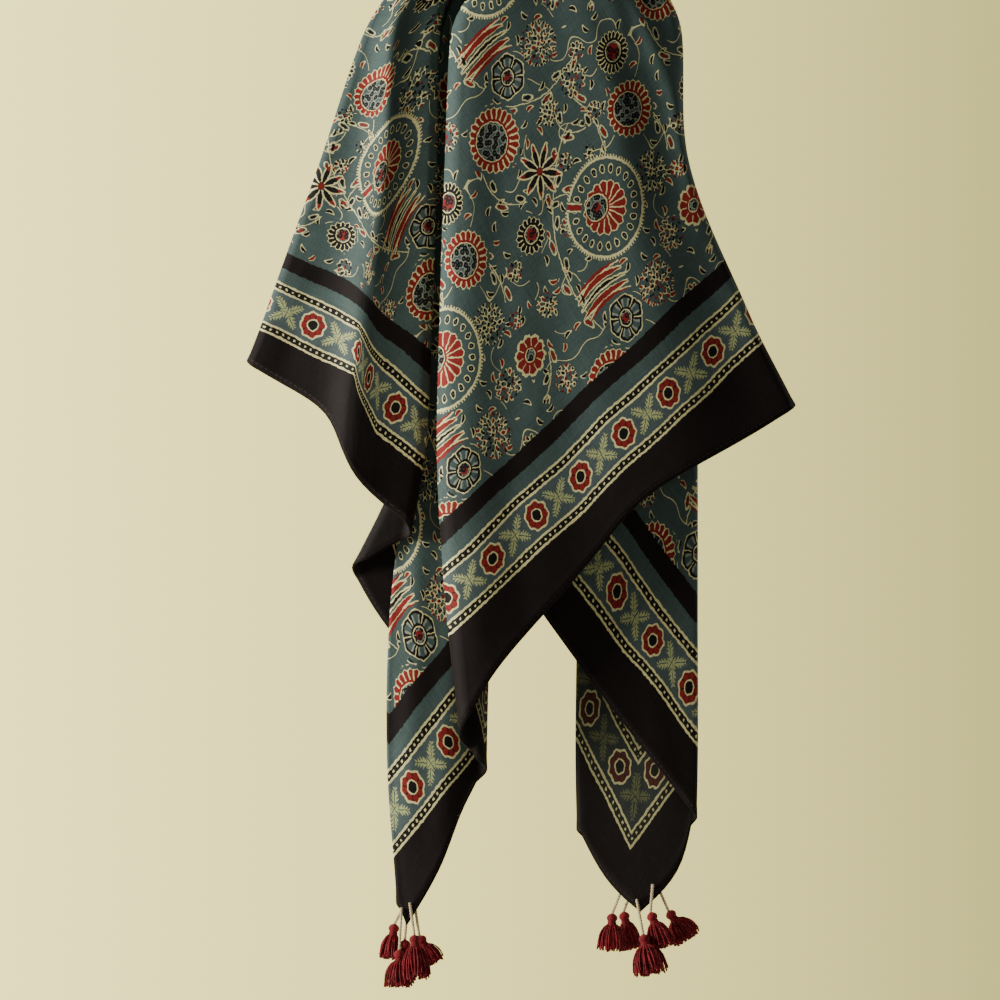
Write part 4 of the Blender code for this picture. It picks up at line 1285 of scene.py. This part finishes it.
def tassel_head(row):
    """Strands bent over the cord: a ribbed ball, closed at the top and at the neck."""
    head, down, across, deep, _ = tassel_frame(row)
    around = 2 * HEAD_RIBS
    made, sheets = [head], []
    for drop, radius in HEAD_PROFILE:
        for n in range(around):
            turn = 2 * math.pi * n / around
            r = radius - (RIB_DEPTH if n % 2 else 0.0)
            made.append(head + down * drop + (across * math.cos(turn) + deep * math.sin(turn)) * r)
    made.append(head + down * (HEAD_PROFILE[-1][0] + 0.6))
    for n in range(around):
        m = (n + 1) % around
        sheets.append((0, 1 + n, 1 + m))
        for k in range(len(HEAD_PROFILE) - 1):
            top, low = 1 + k * around, 1 + (k + 1) * around
            sheets.append((top + n, low + n, low + m, top + m))
        low = 1 + (len(HEAD_PROFILE) - 1) * around
        sheets.append((len(made) - 1, low + m, low + n))
    return made, sheets


def neck_winding(row):
    """The yarn that is wound round the neck and ties the bundle."""
    head, down, across, deep, _ = tassel_frame(row)
    steps = NECK_TURNS * 14
    centres = []
    for k in range(steps + 1):
        turn = 2 * math.pi * k / 14
        drop = 6.9 + 2.6 * k / steps
        side = across * math.cos(turn) + deep * math.sin(turn)
        centres.append(head + down * drop + side * (NECK_HALF_WIDTH + 0.5))
    return tube(centres, [NECK_YARN] * len(centres), 5)


yarn_chance = random.Random(11)
tassels = []
for row in TASSELS:
    made, sheets = skirt_strands(row, yarn_chance)
    add_part(made, sheets, tassel_head(row))
    add_part(made, sheets, neck_winding(row))
    tassels.append(make_piece("yarn_tassel_" + row["name"], made, sheets,
                              "tassel_" + row["name"]))
print("tassels made:", len(tassels), "triangles each:",
      sum(len(face.vertices) - 2 for face in tassels[0].data.polygons))

# %% [markdown]
# ## The cords
#
# Every tassel hangs from a doubled cream cord, two plies twisted round each other, which
# is sewn through the hem and comes out on one face of the cloth. The cloth is already
# there, so a ray from that face finds the place where the cord touches it.

# %% Twisted cords
PLY_RADIUS = 0.75
PLY_TURN_MM = 4.4
CORD_STEPS = 26
CORD_CLEAR = 0.35  # the air between a cord and the cloth
CORD_ON_CLOTH = 2.0


def cord_centres(row, surface):
    head, down, _, _, _ = tassel_frame(row)
    away = -1 if row["side"] == "front" else 1
    x, z = row["cord_top"]
    hit = None
    while hit is None:
        hit = surface.ray_cast(Vector((x, 300 * away, z)) * MM, Vector((0, -away, 0)))[0]
        z += 1
    top = Vector((x, hit.y / MM + away * (CORD_CLEAR + 2 * PLY_RADIUS), z + CORD_ON_CLOTH))
    low = head + down * 0.2
    centres = []
    for k in range(CORD_STEPS + 1):
        t = k / CORD_STEPS
        point = top.lerp(low, t)
        point.y = top.y + (low.y - top.y) * t * t
        centres.append(point)
    return centres


def twisted_cord(centres):
    """Two plies that wind round one line."""
    made, sheets = [], []
    length = sum((b - a).length for a, b in zip(centres, centres[1:]))
    for ply in (0, math.pi):
        strand = []
        for k, centre in enumerate(centres):
            turn = ply + 2 * math.pi * length * k / (len(centres) - 1) / PLY_TURN_MM
            strand.append(centre + Vector((math.cos(turn), math.sin(turn), 0)) * PLY_RADIUS * 0.85)
        add_part(made, sheets, tube(strand, [PLY_RADIUS] * len(strand), 6))
    return made, sheets


cloth_surface = BVHTree.FromObject(cloth, bpy.context.evaluated_depsgraph_get())
cords = []
for row in TASSELS:
    made, sheets = twisted_cord(cord_centres(row, cloth_surface))
    cords.append(make_piece("twisted_cord_" + row["name"], made, sheets,
                            "cord_" + row["name"]))
print("cords made:", len(cords))

# %% [markdown]
# ## Yarn for tassels and cords
#
# Both are spun yarn, one crimson and one undyed. A yarn's colour is never even: the dye
# takes differently along a strand, and its fibres stand a little proud. Noise that is long
# along the strands and short across them gives both, and much sheen gives the soft rim
# that loose fibres have in side light.

# %% Yarn materials
CRIMSON = ((0.075, 0.002, 0.006), (0.28, 0.009, 0.019))
UNDYED = ((0.42, 0.31, 0.17), (0.80, 0.68, 0.46))


def yarn_material(name, colours, sheen, sheen_tint):
    paint = bpy.data.materials.new(name)
    paint.use_nodes = True
    nodes, links = paint.node_tree.nodes, paint.node_tree.links
    shader = nodes["Principled BSDF"]
    where = nodes.new("ShaderNodeTexCoord")
    stretched = nodes.new("ShaderNodeMapping")
    stretched.inputs["Scale"].default_value = (1, 1, 0.18)
    patches = nodes.new("ShaderNodeTexNoise")
    patches.inputs["Scale"].default_value = 700
    patches.inputs["Detail"].default_value = 3
    fibres = nodes.new("ShaderNodeTexNoise")
    fibres.inputs["Scale"].default_value = 3600
    ramp = nodes.new("ShaderNodeValToRGB")
    ramp.color_ramp.elements[0].position = 0.30
    ramp.color_ramp.elements[1].position = 0.72
    for element, shade in zip(ramp.color_ramp.elements, colours):
        element.color = (*shade, 1)
    bump = nodes.new("ShaderNodeBump")
    bump.inputs["Strength"].default_value = 0.6
    bump.inputs["Distance"].default_value = 0.12 * MM
    links.new(where.outputs["Object"], stretched.inputs["Vector"])
    for texture in (patches, fibres):
        links.new(stretched.outputs["Vector"], texture.inputs["Vector"])
    links.new(patches.outputs["Fac"], ramp.inputs["Fac"])
    links.new(ramp.outputs["Color"], shader.inputs["Base Color"])
    links.new(fibres.outputs["Fac"], bump.inputs["Height"])
    links.new(bump.outputs["Normal"], shader.inputs["Normal"])
    shader.inputs["Roughness"].default_value = 0.78
    shader.inputs["Specular IOR Level"].default_value = 0.25
    shader.inputs["Sheen Weight"].default_value = sheen
    shader.inputs["Sheen Roughness"].default_value = 0.5
    shader.inputs["Sheen Tint"].default_value = (*sheen_tint, 1)
    return paint


crimson_yarn = yarn_material("crimson_yarn", CRIMSON, 0.35, (0.9, 0.25, 0.25))
undyed_yarn = yarn_material("undyed_yarn", UNDYED, 0.2, (1.0, 0.93, 0.8))
for piece in tassels:
    piece.data.materials.append(crimson_yarn)
for piece in cords:
    piece.data.materials.append(undyed_yarn)
print("yarn materials:", crimson_yarn.name, undyed_yarn.name)

# %% [markdown]
# ## Light and floor
#
# The photograph is lit softly from the left, almost along the wall, as by a window: what
# faces left is bright and the broad front fold falls into shade. One wide area light does
# that, and a weak one fills the shade. The pale world is brighter on the window's side,
# and only the camera sees it that bright, since a wall lights less than its own window.
# Two more lamps, behind and on the right, are there for the other views. The floor is a
# small pale disc, below the picture.

# %% A pale room, brighter towards the window
FLOOR_Z = -1.16
FLOOR_RADIUS = 0.95
ROOM_LIGHT = (0.60, 0.57, 0.44)
ROOM_LIGHT_STRENGTH = 0.18
WALL_BY_WINDOW = (2.40, 2.12, 0.74)
WALL_IN_SHADE = (0.84, 0.76, 0.26)
WALL_TURN = 0.14  # how far to each side the wall's brightness changes

world = bpy.data.worlds.new("pale_room")
world.use_nodes = True
room, room_links = world.node_tree.nodes, world.node_tree.links
room_light = room["Background"]
room_light.inputs["Color"].default_value = (*ROOM_LIGHT, 1)
room_light.inputs["Strength"].default_value = ROOM_LIGHT_STRENGTH
way = room.new("ShaderNodeTexCoord")
sideways = room.new("ShaderNodeSeparateXYZ")
from_window = room.new("ShaderNodeMapRange")
from_window.inputs["From Min"].default_value = -WALL_TURN
from_window.inputs["From Max"].default_value = WALL_TURN
wall_colour = room.new("ShaderNodeMix")
wall_colour.data_type = "RGBA"
wall_colour.inputs[6].default_value = (*WALL_BY_WINDOW, 1)
wall_colour.inputs[7].default_value = (*WALL_IN_SHADE, 1)
wall = room.new("ShaderNodeBackground")
seen = room.new("ShaderNodeLightPath")
either = room.new("ShaderNodeMixShader")
room_links.new(way.outputs["Generated"], sideways.inputs["Vector"])
room_links.new(sideways.outputs["X"], from_window.inputs["Value"])
room_links.new(from_window.outputs["Result"], wall_colour.inputs[0])
room_links.new(wall_colour.outputs[2], wall.inputs["Color"])
room_links.new(seen.outputs["Is Camera Ray"], either.inputs["Fac"])
room_links.new(room_light.outputs["Background"], either.inputs[1])
room_links.new(wall.outputs["Background"], either.inputs[2])
room_links.new(either.outputs["Shader"], room["World Output"].inputs["Surface"])
bpy.context.scene.world = world
print("room ready")

# %% Lights and floor
def window_light(name, place, target, size, power, colour):
    data = bpy.data.lights.new(name, "AREA")
    data.shape = "DISK"
    data.size = size
    data.energy = power
    data.color = colour
    light = bpy.data.objects.new(name, data)
    light.location = place
    light.rotation_euler = (Vector(target) - Vector(place)).to_track_quat("-Z", "Y").to_euler()
    bpy.context.scene.collection.objects.link(light)


window_light("window", (-2.35, -0.62, -0.30), (0, 0, -0.55), 1.0, 120, (1.0, 0.97, 0.86))
window_light("room_fill", (0.6, -2.6, 0.2), (0, 0, -0.6), 2.2, 3, (0.93, 0.97, 1.0))
window_light("behind", (-0.9, 2.3, 0.5), (0, 0, -0.5), 1.6, 55, (1.0, 0.96, 0.86))
window_light("right_side", (2.3, 0.5, -0.2), (0, 0, -0.5), 1.4, 14, (1.0, 0.96, 0.86))

floor_mesh = bpy.data.meshes.new("floor")
shell = bmesh.new()
bmesh.ops.create_circle(shell, cap_ends=True, radius=FLOOR_RADIUS, segments=96)
shell.to_mesh(floor_mesh)
shell.free()
floor = bpy.data.objects.new("floor", floor_mesh)
floor.location = (0, 0, FLOOR_Z)
floor_paint = bpy.data.materials.new("floor_paint")
floor_paint.use_nodes = True
floor_shader = floor_paint.node_tree.nodes["Principled BSDF"]
floor_shader.inputs["Base Color"].default_value = (0.62, 0.6, 0.54, 1)
floor_shader.inputs["Roughness"].default_value = 0.8
floor_mesh.materials.append(floor_paint)
bpy.context.scene.collection.objects.link(floor)
print("lights and floor ready")
